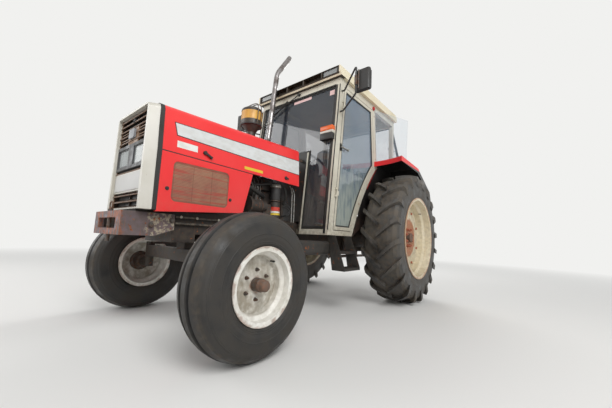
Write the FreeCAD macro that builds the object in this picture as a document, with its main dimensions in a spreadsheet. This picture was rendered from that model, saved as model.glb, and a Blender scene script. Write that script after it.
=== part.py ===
import FreeCAD, Part
import math
import os

import Sketcher

# A farm tractor with a cab. Millimetres, +Z up, the front towards -Y and the tractor's left
# side at +X. The origin is on the ground, under the middle of the whole machine.

doc = FreeCAD.newDocument("FarmTractor")

# Driving dimensions: name, size in millimetres, what it is.
# Places of the front end are measured from the front axle, and places of the cab, the hood's rear
# end and all behind it from the rear axle: negative is ahead of it.
driving = (
    ("frontAxle", -1363, "y of the front axle in the tractor's own frame"),
    ("wheelbase", 2360, "front axle to rear axle"),
    ("seat", 0.3, "gap between a piece and the piece it is bolted to"),
    # front wheels
    ("frontTyreRadius", 428, "outside radius of a front tyre"),
    ("frontTyreHalf", 135, "half the width of a front tyre"),
    ("frontTrack", 826, "middle of a front tyre from the centre line"),
    ("ribHalf", 20, "half width of a front tyre's middle rib"),
    ("grooveWide", 30, "width of a front tyre's grooves"),
    ("grooveDeep", 15, "depth of a front tyre's grooves"),
    ("frontFlangeRadius", 226, "outer edge of the front rim"),
    ("frontBeadRadius", 206, "where the front tyre sits on its rim"),
    ("frontRimHalf", 123, "half the width of the front rim"),
    ("frontWellRadius", 180, "drop well of the front rim"),
    ("frontDiscFace", 36, "outer face of the front disc from the tyre's middle"),
    ("rimWall", 8, "thickness of a rim"),
    ("frontHubRadius", 66, "front hub where it meets the disc"),
    # rear wheels
    ("rearTyreRadius", 770, "outside radius of a rear tyre, out to the lugs' tips"),
    ("rearTyreHalf", 208, "half the width of a rear tyre"),
    ("tyreClear", 49, "gap between the cab's side and a rear tyre"),
    ("lugHeight", 38, "height of a rear tyre's lugs at the middle"),
    ("lugCount", 20, "lugs on each half of a rear tyre"),
    ("rearFlangeRadius", 482, "outer edge of the rear rim"),
    ("rearBeadRadius", 460, "where the rear tyre sits on its rim"),
    ("rearRimHalf", 200, "half the width of the rear rim"),
    ("rearWellRadius", 430, "drop well of the rear rim"),
    ("rearDiscFace", 60, "outer face of the rear disc from the tyre's middle"),
    ("rearHubRadius", 130, "rear axle flange"),
    # front axle and steering
    ("kingpinIn", 186, "kingpin inboard of the middle of a front tyre"),
    ("kingpinRadius", 19, "kingpin"),
    ("kingpinBoss", 36, "outside of the kingpin housing"),
    ("axleBottom", 492, "underside of the front axle beam"),
    ("axleTop", 586, "top of the front axle beam"),
    ("axleHalf", 46, "half the front axle beam, front to back"),
    ("spindleRadius", 28, "front wheel spindle"),
    ("armLength", 165, "steering arm, kingpin to tie rod"),
    ("armThick", 20, "thickness of a steering arm"),
    ("armHalf", 24, "half width of a steering arm"),
    ("tieRodRadius", 15, "tie rod"),
    ("tieRodLift", 34, "middle of the tie rod over its arm"),
    ("runningGap", 6, "clearance between a moving piece and a fixed one"),
    ("pinPlay", 0.05, "radial play of a pin in its bore"),
    # front weight frame and support
    ("frameFront", -548, "front face of the weight frame"),
    ("frameRear", -222, "rear end of the weight frame's sides"),
    ("frameHalf", 247, "half width of the weight frame"),
    ("frameTop", 831, "top of the weight frame"),
    ("frameBottom", 683, "underside of the weight frame"),
    ("framePlate", 32, "thickness of the weight frame's plates"),
    ("frameSlotHalf", 163, "half width of the hole in the front plate"),
    ("frameSlotTop", 789, "top of the hole in the front plate"),
    ("frameSlotBottom", 722, "bottom of the hole in the front plate"),
    ("frameTailBottom", 726, "underside of the sides at their rear end"),
    ("frameRise", -346, "where the sides' lower edge starts to rise"),
    ("supportHalf", 214, "half width of the front support"),
    ("supportRear", 88, "rear end of the front support's low part"),
    ("railProud", 26, "how far the ribs on the front support stand out"),
    ("supportBottom", 642, "underside of the front support"),
    ("pivotHalf", 62, "half width of the axle pivot lug"),
    ("pivotZ", 676, "height of the axle's pivot pin"),
    ("pivotRadius", 22, "axle's pivot pin"),
    ("towPinX", 0, "tow pin from the centre line"),
    ("towPinRadius", 12, "tow pin"),
    # hood and its side panels
    ("hoodFront", -386, "front edge of the hood"),
    ("hoodRear", -1398, "rear edge of the hood"),
    ("hoodHalf", 322, "half width of the hood at its lower edge"),
    ("hoodTopHalf", 300, "half width of the hood at its top"),
    ("hoodFrontTop", 1556, "top of the hood at the front"),
    ("hoodRearTop", 1606, "top of the hood at the rear"),
    ("hoodFrontLow", 1240, "lower edge of the hood at the front"),
    ("hoodRearLow", 1222, "lower edge of the hood at the rear"),
    ("hoodCorner", 46, "radius of the hood's top edges"),
    ("sheetWall", 4, "sheet metal of the hood and panels"),
    ("panelBottomFront", 837, "underside of a side panel at the front"),
    ("panelBottomRear", 889, "underside of a side panel at its rear"),
    ("panelRearTop", 366, "rear edge of a side panel at the top"),
    ("panelRearLow", 287, "rear edge of a side panel at the bottom"),
    ("gridFront", -300, "front of the grid in a side panel"),
    ("gridRear", 136, "rear of the grid"),
    ("gridBottom", 912, "bottom of the grid"),
    ("gridTop", 1183, "top of the grid"),
    ("gridCorner", 34, "corner radius of the grid's window"),
    ("gridEdge", 10, "how far the grid reaches behind its window's edge"),
    ("gridThick", 3, "thickness of the grid"),
    ("foldWide", 24, "width of the folded lower edge of a side panel"),
    ("sealThick", 7, "rubber strip between a side panel and the hood"),
    ("hoodHingeY", -1412, "hood hinge"),
    ("hoodHingeDrop", 28, "hood hinge under the hood's top"),
    ("hoodPinRadius", 8, "hood hinge pin"),
    ("hoodArmX", 178, "middle of a hood hinge arm from the centre line"),
    # grille surround
    ("grilleFront", -474, "front face of the grille surround"),
    ("grilleRear", -394, "rear edge of the grille surround"),
    ("grilleTopHalf", 272, "half width of the surround's front at the top"),
    ("grilleLowHalf", 293, "half width of the surround's front at the bottom"),
    ("grilleTop", 1543, "top of the surround at its front"),
    ("grilleBottom", 848, "bottom of the surround"),
    ("grilleRim", 14, "width of the surround's rim at its sides and top"),
    ("grilleSill", 10, "width of the surround's rim at the bottom"),
    ("badgeTop", 1430, "top of the louvres' middle block"),
    ("badgeHalf", 84, "half width of the louvres' middle block"),
    ("louvreStrip", 8, "width of the strips that hold the louvres"),
    ("louvreThick", 6, "thickness of a louvre"),
    ("louvreDeep", 28, "depth of a louvre"),
    ("louvrePitch", 37, "distance between louvres, about"),
    ("lampBarTop", 1308, "top of the lamp bar"),
    ("lampBarBottom", 1139, "bottom of the lamp bar"),
    ("lampEdge", 14, "rim of the lamp bar outside a headlamp"),
    ("lampInner", 42, "inner side of a headlamp"),
    ("lampTop", 1289, "top of a headlamp"),
    ("lampBottom", 1158, "bottom of a headlamp"),
    ("grilleDepth", 24, "how far the lamps and louvres sit behind the surround's face"),
    ("blankTop", 1104, "top of the blank panel under the lamps"),
    ("blankBottom", 972, "bottom of the blank panel under the lamps"),
    # radiator, engine, gearbox, axle
    ("radiatorFront", -290, "front of the radiator"),
    ("radiatorRear", -170, "rear of the radiator"),
    ("radiatorHalf", 232, "half width of the radiator"),
    ("radiatorDrop", 116, "top of the radiator under the hood's front end"),
    ("engineFront", -60, "front of the engine block"),
    ("engineSump", 190, "front of the sump"),
    ("engineRear", -1460, "rear of the engine, where the gearbox starts"),
    ("engineHalf", 150, "half width of the engine block"),
    ("engineBottom", 610, "underside of the sump"),
    ("engineDeck", 860, "underside of the block ahead of the sump"),
    ("engineDrop", 256, "top of the rocker cover under the hood's front end"),
    ("headDrop", 330, "top of the cylinder head under the hood's front end"),
    ("blockDrop", 430, "top of the cylinder block under the hood's front end"),
    ("pumpRadius", 54, "injection pump"),
    ("pumpZ", 985, "injection pump, height"),
    ("pumpY", -455, "front of the injection pump, from the engine's rear"),
    ("pumpLong", 176, "length of the injection pump"),
    ("filterY", -152, "fuel filter, from the engine's rear"),
    ("headHalf", 112, "half width of the cylinder head"),
    ("rockerHalf", 78, "half width of the rocker cover"),
    ("gearboxHalf", 190, "half width of the gearbox"),
    ("gearboxBottom", 560, "underside of the gearbox"),
    ("gearboxDrop", 30, "gap between the gearbox and the cab floor"),
    ("flangeWide", 24, "width of the bolted flanges of engine and gearbox"),
    ("flangeProud", 22, "how far those flanges stand out"),
    ("housingFront", -330, "front of the rear axle's middle housing, from the rear axle"),
    ("housingRear", 270, "rear of the middle housing, from the rear axle"),
    ("housingHalf", 210, "half width of the middle housing"),
    ("housingBottom", 560, "underside of the middle housing"),
    ("housingTop", 930, "top of the middle housing"),
    ("trumpetRoot", 150, "radius of an axle trumpet at the housing"),
    ("trumpetTip", 92, "radius of an axle trumpet at the wheel"),
    ("trumpetIn", 102, "outer end of an axle trumpet inboard of the tyre's middle"),
    ("shaftRadius", 45, "rear axle shaft"),
    ("shaftDepth", 60, "how far the rear axle shaft reaches into its trumpet"),
    # cab
    ("cabHalf", 605, "outside of the cab's frame"),
    ("cabTube", 48, "frame tube of the cab, side to side"),
    ("pillarFoot", -1282, "front of the front pillar at its foot"),
    ("pillarHead", -1125, "front of the front pillar at its head"),
    ("pillarWide", 88, "front pillar, front to back"),
    ("cabBottom", 750, "underside of the cab's frame"),
    ("sillHeight", 48, "height of the door sill"),
    ("sillRear", -818, "rear end of the door sill"),
    ("headerDepth", 76, "depth of the cab's top rail"),
    ("cabTop", 2434, "top of the cab's frame"),
    ("rearPillarFoot", -316, "front of the rear door pillar at its foot"),
    ("rearPillarHead", -394, "front of the rear door pillar at its head"),
    ("rearPillarWide", 84, "rear door pillar, front to back"),
    ("rearPillarLow", 1640, "foot of the rear door pillar"),
    ("cabRear", 304, "rear face of the cab"),
    ("archBend", 2500, "radius of the cab's rail along the wheel arch"),
    ("archSlope", 0.45, "lean of that rail at its foot, run over rise"),
    ("archWide", 52, "width of the cab's rail along the wheel arch"),
    ("firewallHalf", 262, "half width of the bulkhead behind the hood"),
    ("firewallRise", 34, "top of the bulkhead over the hood's rear end"),
    ("postHalf", 17, "half width of the posts beside the hood"),
    ("markerIn", 437, "inner side of the marker lamps on the front pillars"),
    ("markerOut", 586, "outer side of the marker lamps"),
    ("markerTop", 1874, "top of the marker lamps"),
    ("markerBottom", 1731, "bottom of the marker lamps"),
    ("markerDeep", 44, "how far the marker lamps stand ahead of the pillar"),
    ("wiperX", 30, "wiper's spindle from the centre line"),
    ("wiperRest", -520, "end of the resting wiper arm from the centre line"),
    ("wiperDrop", 34, "wiper's spindle under the cab's top"),
    ("wiperFall", 254, "end of the resting wiper arm under the cab's top"),
    ("wiperOut", 18, "wiper arm ahead of the cab's front face"),
    ("ventAngle", 24, "how far the quarter windows stand open, degrees"),
    ("hatchAngle", 34, "how far the rear window stands open, degrees"),
    ("paneLap", 18, "lap of an opened window over its frame"),
    ("ventLap", 4, "lap of a quarter window over its foot, which clears the fender"),
    ("glassThick", 6, "window glass"),
    ("glassStep", 14, "lower edge of the front glass over the sill"),
    ("floorTop", 940, "cab floor"),
    ("floorThick", 30, "cab floor plate"),
    ("floorRise", 180, "height of the floor's raised rear part"),
    ("floorStep", -720, "foot of the raised part"),
    ("floorRun", 120, "run of the slope up to the raised part"),
    ("sheetSide", 6, "sheet metal of the cab's lower sides"),
    # doors
    ("doorGap", 7, "gap round a door"),
    ("doorClear", 9, "gap between a fender and the door that swings past it"),
    ("doorRail", 34, "width of a door's frame"),
    ("doorThick", 32, "thickness of a door's frame"),
    ("hingeOut", 12, "door hinge's axis out from the cab's side"),
    ("hingePin", 5, "radius of a door hinge's pin"),
    ("hingeLow", 1180, "height of a door's lower hinge"),
    ("hingeDrop", 294, "a door's upper hinge under the cab's top"),
    # roof
    ("roofSide", 35, "overhang of the roof at the sides"),
    ("roofFront", -1188, "front edge of the roof"),
    ("roofRear", 330, "rear edge of the roof"),
    ("roofThick", 132, "thickness of the roof"),
    ("roofBevel", 40, "bevel along the roof's sides"),
    ("visorLip", 20, "lip round the recess in the roof's front"),
    ("visorDeep", 66, "depth of that recess"),
    ("workLampWide", 200, "width of a work lamp"),
    ("visorBar", 14, "width of the bars across the recess"),
    # fenders
    ("fenderRise", 160, "front of a fender's top over the tyre"),
    ("fenderFront", -404, "front edge of a fender's top"),
    ("fenderRidge", 175, "where a fender's top turns down"),
    ("fenderDip", 28, "fall of the top up to there"),
    ("fenderBackY", 675, "where a fender's rear turns down again"),
    ("fenderBackZ", 1431, "height of that bend"),
    ("fenderCover", 128, "how far a fender covers the tyre outside its middle"),
    ("fenderLip", 60, "depth of a fender's lip"),
    ("fenderWall", 5, "sheet metal of a fender"),
    ("fenderClear", 20, "gap behind the tyre at a fender's end"),
    ("fenderFoot", 1150, "lowest point of a fender's rear"),
    # exhaust and pre-cleaner
    ("exhaustX", -300, "exhaust pipe from the centre line"),
    ("exhaustGap", 112, "middle of the exhaust pipe ahead of the cab's front face"),
    ("exhaustRadius", 31, "exhaust pipe"),
    ("exhaustFoot", 1130, "height at which the exhaust leaves the engine"),
    ("exhaustStart", -1520, "where the exhaust leaves the engine"),
    ("exhaustBend", 2750, "where the exhaust turns back"),
    ("exhaustTipRise", 330, "height gained by the exhaust's curved end"),
    ("exhaustTipBack", 210, "how far the exhaust's end reaches back"),
    ("exhaustCurve", 300, "radius of the exhaust's curved end"),
    ("cleanerY", -1792, "pre-cleaner"),
    ("cleanerRadius", 103, "pre-cleaner bowl"),
    ("cleanerStem", 200, "bottom of the pre-cleaner bowl over the hood"),
    ("cleanerBowl", 144, "height of the pre-cleaner bowl"),
    ("cleanerCap", 46, "height of the pre-cleaner's cap"),
    ("cleanerNeck", 44, "radius of the pre-cleaner's neck"),
    # mirror, steps, tank
    ("mirrorGap", 237, "inner edge of a mirror out from the cab"),
    ("mirrorWide", 158, "width of a mirror"),
    ("mirrorDrop", 89, "top of a mirror under the cab's top"),
    ("mirrorHigh", 205, "height of a mirror"),
    ("mirrorY", -1225, "middle of a mirror"),
    ("mirrorThick", 52, "thickness of a mirror's shell"),
    ("armRadius", 9, "mirror arm"),
    ("armStub", 34, "straight piece of the mirror's arm beside the cab"),
    ("stepTread", 440, "top of the lower step"),
    ("stepFront", -1205, "front of the steps"),
    ("stepRear", -910, "rear of the steps"),
    ("stepInset", 45, "inner edge of the steps inside the cab's side"),
    ("stepReach", 155, "how far the steps reach out from the cab's side"),
    ("stepWide", 140, "depth of a tread"),
    ("hangerWide", 86, "width of a step's hanger"),
    ("midTread", 596, "top of the upper step"),
    ("treadThick", 24, "thickness of a tread"),
    ("tankFront", -1658, "front of the fuel tank"),
    ("tankRear", -1216, "rear of the fuel tank"),
    ("tankTop", 690, "top of the fuel tank"),
    ("tankBottom", 560, "bottom of the fuel tank"),
    ("tankInset", 15, "outer side of the fuel tank inside the cab's side"),
    # seat and steering wheel
    ("chairY", -460, "middle of the driver's seat"),
    ("chairHalf", 235, "half width of the driver's seat"),
    ("chairHeight", 390, "top of the seat cushion over the floor"),
    ("cushionHigh", 120, "thickness of the seat cushion"),
    ("backrestHigh", 430, "height of the backrest over the cushion"),
    ("dashFront", 46, "front of the dashboard behind the cab's front face"),
    ("dashRear", 296, "rear of the dashboard behind the cab's front face"),
    ("dashHeight", 620, "top of the dashboard over the floor"),
    ("columnY", -960, "foot of the steering column"),
    ("columnRise", 480, "foot of the steering column over the floor"),
    ("wheelY", -860, "middle of the steering wheel"),
    ("wheelRise", 660, "middle of the steering wheel over the floor"),
    ("wheelRadius", 205, "steering wheel"),
    ("wheelRimRadius", 14, "steering wheel's rim"),
    ("wheelHub", 26, "depth of the steering wheel's hub"),
    # rear linkage
    ("linkPivotX", 250, "lower link's front pin from the centre line"),
    ("linkPivotY", 130, "lower link's front pin, from the rear axle"),
    ("linkPivotZ", 592, "lower link's front pin, height"),
    ("linkEndX", 390, "lower link's ball end from the centre line"),
    ("linkEndY", 876, "lower link's ball end, from the rear axle"),
    ("linkEndZ", 600, "lower link's ball end, height"),
    ("linkBore", 14.35, "bore of a lower link's ball, category 2"),
    ("linkEye", 24, "outside of a lower link's ball end"),
    ("linkThick", 22, "thickness of a lower link"),
    ("linkPin", 16, "radius of a lower link's front pin"),
    ("rockshaftY", 262, "rockshaft, from the rear axle"),
    ("rockshaftZ", 985, "rockshaft, height"),
    ("rockshaftRadius", 32, "rockshaft"),
    ("liftArmX", 265, "lift arm from the centre line"),
    ("liftArmEndY", 560, "end of a lift arm, from the rear axle"),
    ("liftArmEndZ", 1006, "end of a lift arm, height"),
    ("liftPin", 10, "radius of the pin between a lift arm and its rod"),
    ("rodFootShare", 0.55, "place of the lift rod along the lower link, 0 front to 1 rear"),
    ("rodOffset", 44, "lift rod's foot out from the lower link's middle"),
    ("rodEye", 19, "half width of the lift rod's lower eye"),
    ("drawbarZ", 480, "drawbar, height"),
    ("drawbarRear", 768, "rear end of the drawbar, from the rear axle"),
    ("drawbarHole", 16, "radius of the drawbar's pin hole"),
    ("ptoRadius", 17.5, "power take-off shaft"),
    ("ptoZ", 690, "power take-off shaft, height"),
    ("ptoRear", 360, "end of the power take-off shaft, from the rear axle"),
)


class Size:
    """A size that knows its name, so that what is worked out from it stays bound to the sheet."""

    def __init__(self, value, text):
        self.value = value
        self.text = text

    def __add__(self, other):
        return Size(self.value + number(other), f"({self.text} + {words(other)})")

    def __radd__(self, other):
        return Size(number(other) + self.value, f"({words(other)} + {self.text})")

    def __sub__(self, other):
        return Size(self.value - number(other), f"({self.text} - {words(other)})")

    def __rsub__(self, other):
        return Size(number(other) - self.value, f"({words(other)} - {self.text})")

    def __mul__(self, other):
        return Size(self.value * number(other), f"({self.text} * {words(other)})")

    def __rmul__(self, other):
        return Size(number(other) * self.value, f"({words(other)} * {self.text})")

    def __truediv__(self, other):
        return Size(self.value / number(other), f"({self.text} / {words(other)})")

    def __neg__(self):
        return Size(-self.value, f"(-1 * {self.text})")


def number(size):
    """The plain number of a size."""
    return float(size.value) if isinstance(size, Size) else float(size)


def words(size):
    """The expression of a size."""
    return size.text if isinstance(size, Size) else repr(round(float(size), 6))


class Sizes:
    """The driving dimensions by name."""


def driving_sheet():
    """The sheet of driving dimensions, and the same sizes by name."""
    sheet = doc.addObject("Spreadsheet::Sheet", "Sizes")
    sizes = Sizes()
    for row, (alias, value, note) in enumerate(driving, start=1):
        sheet.set(f"A{row}", str(value))
        sheet.setAlias(f"A{row}", alias)
        sheet.set(f"B{row}", note)
        setattr(sizes, alias, Size(value, f"Sizes.{alias}"))
    doc.recompute()
    return sizes


size = driving_sheet()
frontAxle = size.frontAxle
rearAxle = size.frontAxle + size.wheelbase
rearTrack = size.cabHalf + size.tyreClear + size.rearTyreHalf
kingpinX = size.frontTrack - size.kingpinIn
gearboxTop = size.floorTop - size.floorThick - size.gearboxDrop
trumpetEnd = rearTrack - size.trumpetIn
sillTop = size.cabBottom + size.sillHeight
headerBottom = size.cabTop - size.headerDepth
firewallTop = size.hoodRearTop + size.firewallRise
hoodHingeZ = size.hoodRearTop - size.hoodHingeDrop
sides = (("left", 1), ("right", -1))
nodes = []


def bind(thing, name, value):
    """Ties a property of a document object to a size."""
    thing.setExpression(name, words(value))


def between(sign, inner, outer):
    """The low and high x of something from inner to outer on the side of the sign."""
    return (inner, outer) if sign > 0 else (-outer, -inner)


def rectangle(low, high, bottom, top):
    return [(low, bottom), (high, bottom), (high, top), (low, top)]


def rounded(low, high, bottom, top, radius):
    """A rectangle with round corners. A third value turns the edge to the next point into an arc."""
    return [
        (low + radius, bottom), (high - radius, bottom, radius),
        (high, bottom + radius), (high, top - radius, radius),
        (high - radius, top), (low + radius, top, radius),
        (low, top - radius), (low, bottom + radius, radius),
    ]


def circle(across, up, radius):
    return ("circle", across, up, radius)


class Piece:
    """One sub-part, a body of sketched features. Its label is its file's name."""

    # direction of the extrusion: origin plane, and whether its normal points along the axis
    planes = {"Z": ("XY_Plane", 1), "Y": ("XZ_Plane", -1), "X": ("YZ_Plane", 1)}

    def __init__(self, label):
        self.label = label
        self.body = doc.addObject("PartDesign::Body", label)
        self.body.Label = label
        self.count = 0
        nodes.append(self.body)

    def name(self, kind):
        self.count += 1
        return f"{self.label}_{kind}_{self.count}"

    def sketch(self, axis, level, outlines, across=0, up=0):
        """A sketch across the axis at a level, with its own zero moved across and up."""
        role, sign = self.planes[axis]
        drawn = self.body.newObject("Sketcher::SketchObject", self.name("sketch"))
        plane = next(o for o in self.body.Origin.OriginFeatures if o.Role == role)
        drawn.AttachmentSupport = (plane, [""])
        drawn.MapMode = "FlatFace"
        bind(drawn, "AttachmentOffset.Base.x", across)
        bind(drawn, "AttachmentOffset.Base.y", up)
        bind(drawn, "AttachmentOffset.Base.z", level * sign)
        for outline in outlines:
            if outline[0] == "circle":
                draw_circle(drawn, outline)
            else:
                draw_outline(drawn, outline)
        return drawn

    def pad(self, axis, outlines, low, high, **place):
        """Material between two levels along an axis."""
        level = low if self.planes[axis][1] > 0 else high
        drawn = self.sketch(axis, level, outlines, **place)
        feature = self.body.newObject("PartDesign::Pad", self.name("pad"))
        feature.Profile = drawn
        bind(feature, "Length", high - low)
        self.body.Tip = feature
        return self

    def cut(self, axis, outlines, low, high, **place):
        """A cut between two levels along an axis."""
        level = high if self.planes[axis][1] > 0 else low
        drawn = self.sketch(axis, level, outlines, **place)
        feature = self.body.newObject("PartDesign::Pocket", self.name("pocket"))
        feature.Profile = drawn
        bind(feature, "Length", high - low)
        self.body.Tip = feature
        return self

    def turn(self, axis, outline, centre, kind="Revolution"):
        """An outline turned about an axis through a centre: points are (along, radius) for X
        and (radius, along) for Y and Z."""
        x, y, z = centre
        if axis == "Z":
            drawn = self.sketch("Y", y, [outline], across=x, up=z)
        else:
            drawn = self.sketch("Z", z, [outline], across=x, up=y)
        feature = self.body.newObject(f"PartDesign::{kind}", self.name("turn"))
        feature.Profile = drawn
        feature.ReferenceAxis = (drawn, ["H_Axis" if axis == "X" else "V_Axis"])
        feature.Angle = 360
        self.body.Tip = feature
        return self

    def loft(self, axis, sections, kind="AdditiveLoft"):
        """A ruled loft through sections, each a level and its outline."""
        drawn = [self.sketch(axis, level, [outline]) for level, outline in sections]
        feature = self.body.newObject(f"PartDesign::{kind}", self.name("loft"))
        feature.Profile = drawn[0]
        feature.Sections = drawn[1:]
        feature.Ruled = True
        self.body.Tip = feature
        return self


def pin_point(drawn, geometry, position, across, up):
    """Ties one end of an edge to its place across and up."""
    for axis, value, kind in (("x", across, "DistanceX"), ("y", up, "DistanceY")):
        index = drawn.addConstraint(
            Sketcher.Constraint(kind, -1, 1, geometry, position, number(value)))
        if isinstance(value, Size):
            name = f"{axis}{geometry}_{position}"
            drawn.renameConstraint(index, name)
            drawn.setExpression(f"Constraints.{name}", words(value))


def draw_circle(drawn, outline):
    _, across, up, radius = outline
    centre = FreeCAD.Vector(number(across), number(up), 0)
    index = drawn.addGeometry(Part.Circle(centre, FreeCAD.Vector(0, 0, 1), number(radius)))
    pin_point(drawn, index, 3, across, up)
    drawn.addConstraint(Sketcher.Constraint("Radius", index, number(radius)))
    if isinstance(radius, Size):
        last = drawn.ConstraintCount - 1
        drawn.renameConstraint(last, f"radius{index}")
        drawn.setExpression(f"Constraints.radius{index}", words(radius))


def draw_outline(drawn, outline):
    """Lines and arcs from point to point. Each line is pinned at its start, and each arc at both
    ends, with its radius. A positive radius bulges to the right of the way round."""
    count = len(outline)
    first = drawn.GeometryCount
    for index, point in enumerate(outline):
        start = FreeCAD.Vector(number(point[0]), number(point[1]), 0)
        after = outline[(index + 1) % count]
        end = FreeCAD.Vector(number(after[0]), number(after[1]), 0)
        if len(point) == 3:
            middle = arc_middle(start, end, number(point[2]))
            # an arc is drawn anticlockwise, so one that bulges to the left is drawn from its far end
            ends = (start, end) if number(point[2]) > 0 else (end, start)
            drawn.addGeometry(Part.Arc(ends[0], middle, ends[1]))
        else:
            drawn.addGeometry(Part.LineSegment(start, end))
    starts = [arc_start(drawn, first + index, outline[index]) for index in range(count)]
    for index, point in enumerate(outline):
        geometry = first + index
        following = first + (index + 1) % count
        after_start = starts[(index + 1) % count]
        end = 3 - starts[index]
        drawn.addConstraint(Sketcher.Constraint("Coincident", geometry, end, following, after_start))
        pin_point(drawn, geometry, starts[index], point[0], point[1])
        if len(point) == 3:
            radius = point[2]
            last = drawn.addConstraint(
                Sketcher.Constraint("Radius", geometry, abs(number(radius))))
            if isinstance(radius, Size):
                drawn.renameConstraint(last, f"radius{geometry}")
                drawn.setExpression(f"Constraints.radius{geometry}", f"abs({words(radius)})")


def arc_middle(start, end, radius):
    """The middle of an arc from start to end."""
    chord = end - start
    half = chord.Length / 2
    sagitta = abs(radius) - math.sqrt(max(radius * radius - half * half, 0))
    outward = FreeCAD.Vector(chord.y, -chord.x, 0).normalize()
    return (start + end) * 0.5 + outward * math.copysign(sagitta, radius)


def arc_start(drawn, geometry, point):
    """Which end of the drawn edge, 1 or 2, lies at the point: arcs are stored anticlockwise."""
    edge = drawn.Geometry[geometry]
    place = FreeCAD.Vector(number(point[0]), number(point[1]), 0)
    return 1 if (edge.StartPoint - place).Length <= (edge.EndPoint - place).Length else 2


def feature(label, shape):
    """A sub-part whose shape is worked out by Part's own functions."""
    made = doc.addObject("Part::Feature", label)
    made.Label = label
    made.Shape = shape
    made.Placement = FreeCAD.Placement()
    nodes.append(made)
    return made


def point(x, y, z):
    return FreeCAD.Vector(number(x), number(y), number(z))


def rod(start, end, radius):
    """A straight round bar from one point to another."""
    axis = end - start
    return Part.makeCylinder(number(radius), axis.Length, start, axis)


def bent_path(points, bends):
    """Straight runs joined by arcs that touch both, with a radius for each corner."""
    edges = []
    here = points[0]
    for before, corner, after, bend in zip(points, points[1:], points[2:], bends):
        into = (corner - before).normalize()
        out = (after - corner).normalize()
        turn = into.getAngle(out)
        setback = bend * math.tan(turn / 2)
        arc_from = corner - into * setback
        arc_to = corner + out * setback
        inward = (out - into).normalize()
        middle = corner + inward * (bend / math.cos(turn / 2) - bend)
        edges.append(Part.LineSegment(here, arc_from).toShape())
        edges.append(Part.Arc(arc_from, middle, arc_to).toShape())
        here = arc_to
    edges.append(Part.LineSegment(here, points[-1]).toShape())
    return Part.Wire(edges)


def bent_bar(points, radius, bends):
    """A round bar along straight runs and arcs."""
    path = bent_path(points, bends)
    run = points[1] - points[0]
    ring = Part.Wire([Part.makeCircle(radius, points[0], run)])
    return path.makePipeShell([ring], True, False)


def join(shapes):
    """Shapes fused to one, without the seams between them."""
    return shapes[0].multiFuse(shapes[1:]).removeSplitter()


# Wheels


def front_wheel(side, sign):
    middle = (sign * size.frontTrack, frontAxle, size.frontTyreRadius)
    radius = size.frontTyreRadius
    half = size.frontTyreHalf
    bead = size.frontBeadRadius + size.seat
    inner = size.frontRimHalf - 12
    lip = size.frontRimHalf - size.rimWall - size.seat
    over = size.frontFlangeRadius + size.seat
    rib = size.ribHalf
    groove = rib + size.grooveWide
    # one half of the tyre's section from bead to middle rib, along the axle and out from it
    wall_points = [
        (inner - size.seat, bead), (lip, over), (half - 11, over + 16), (half - 2, over + 48),
        (half, over + 80), (half - 5, radius - 66), (half - 18, radius - 40), (half - 40, radius - 20),
        (groove, radius - 5), (groove - 5, radius - 5 - size.grooveDeep),
        (rib + 5, radius - size.grooveDeep), (rib, radius),
    ]
    tread = wall_points + [(-along, out) for along, out in reversed(wall_points)]
    Piece(f"front_tyre_{side}").turn("X", tread, middle)

    rim = Piece(f"front_rim_{side}")
    width = size.frontRimHalf
    flange = size.frontFlangeRadius
    seat = size.frontBeadRadius
    well = size.frontWellRadius
    wall = size.rimWall
    disc = size.frontDiscFace
    outline = [
        (width, flange), (width - wall, flange), (inner, seat), (74, seat - 3), (56, well),
        (-24, well), (-66, seat - 3), (-inner, seat), (-width + wall, flange), (-width, flange),
        (-width + 4, seat - wall), (-62, seat - 3 - wall), (-24, well - wall),
        (disc - 30, well - wall), (disc - 14, well - 44), (disc - wall, 110),
        (disc - wall, size.frontHubRadius - 26), (disc, size.frontHubRadius - 26),
        (disc, 112), (disc - 4, well - 48), (disc - 14, well - wall),
        (60, well - wall), (78, seat - 3 - wall), (width - 4, seat - wall),
    ]
    rim.turn("X", [(sign * along, out) for along, out in outline], middle)

    hub = Piece(f"front_hub_{side}")
    face = size.frontDiscFace - size.rimWall - size.seat
    bore = size.spindleRadius + size.pinPlay
    profile = [
        (face - 84, bore), (face + 58, bore), (face + 58, 0), (face + 104, 0), (face + 104, 22),
        (face + 96, 32), (face + 62, 34), (face + 58, 40), (face, size.frontHubRadius - 27),
        (face, size.frontHubRadius + 22), (face - 16, size.frontHubRadius + 22),
        (face - 22, size.frontHubRadius), (face - 84, size.frontHubRadius - 8),
    ]
    hub.turn("X", [(sign * along, out) for along, out in profile], middle)


# A lug's sections from the nose to the shoulder: across from the middle as a share of the tyre's half
# width, lag behind the nose, half width at its tip and at its root, depth of tip and root under the
# tyre's outside radius.
lug_sections = (
    (-0.03, 0, 17, 27, 0, 62),
    (0.34, 72, 20, 31, 2, 64),
    (0.68, 138, 24, 35, 10, 84),
    (0.93, 180, 27, 39, 26, 142),
    (1.0, 188, 27, 37, 62, 152),
)


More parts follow.
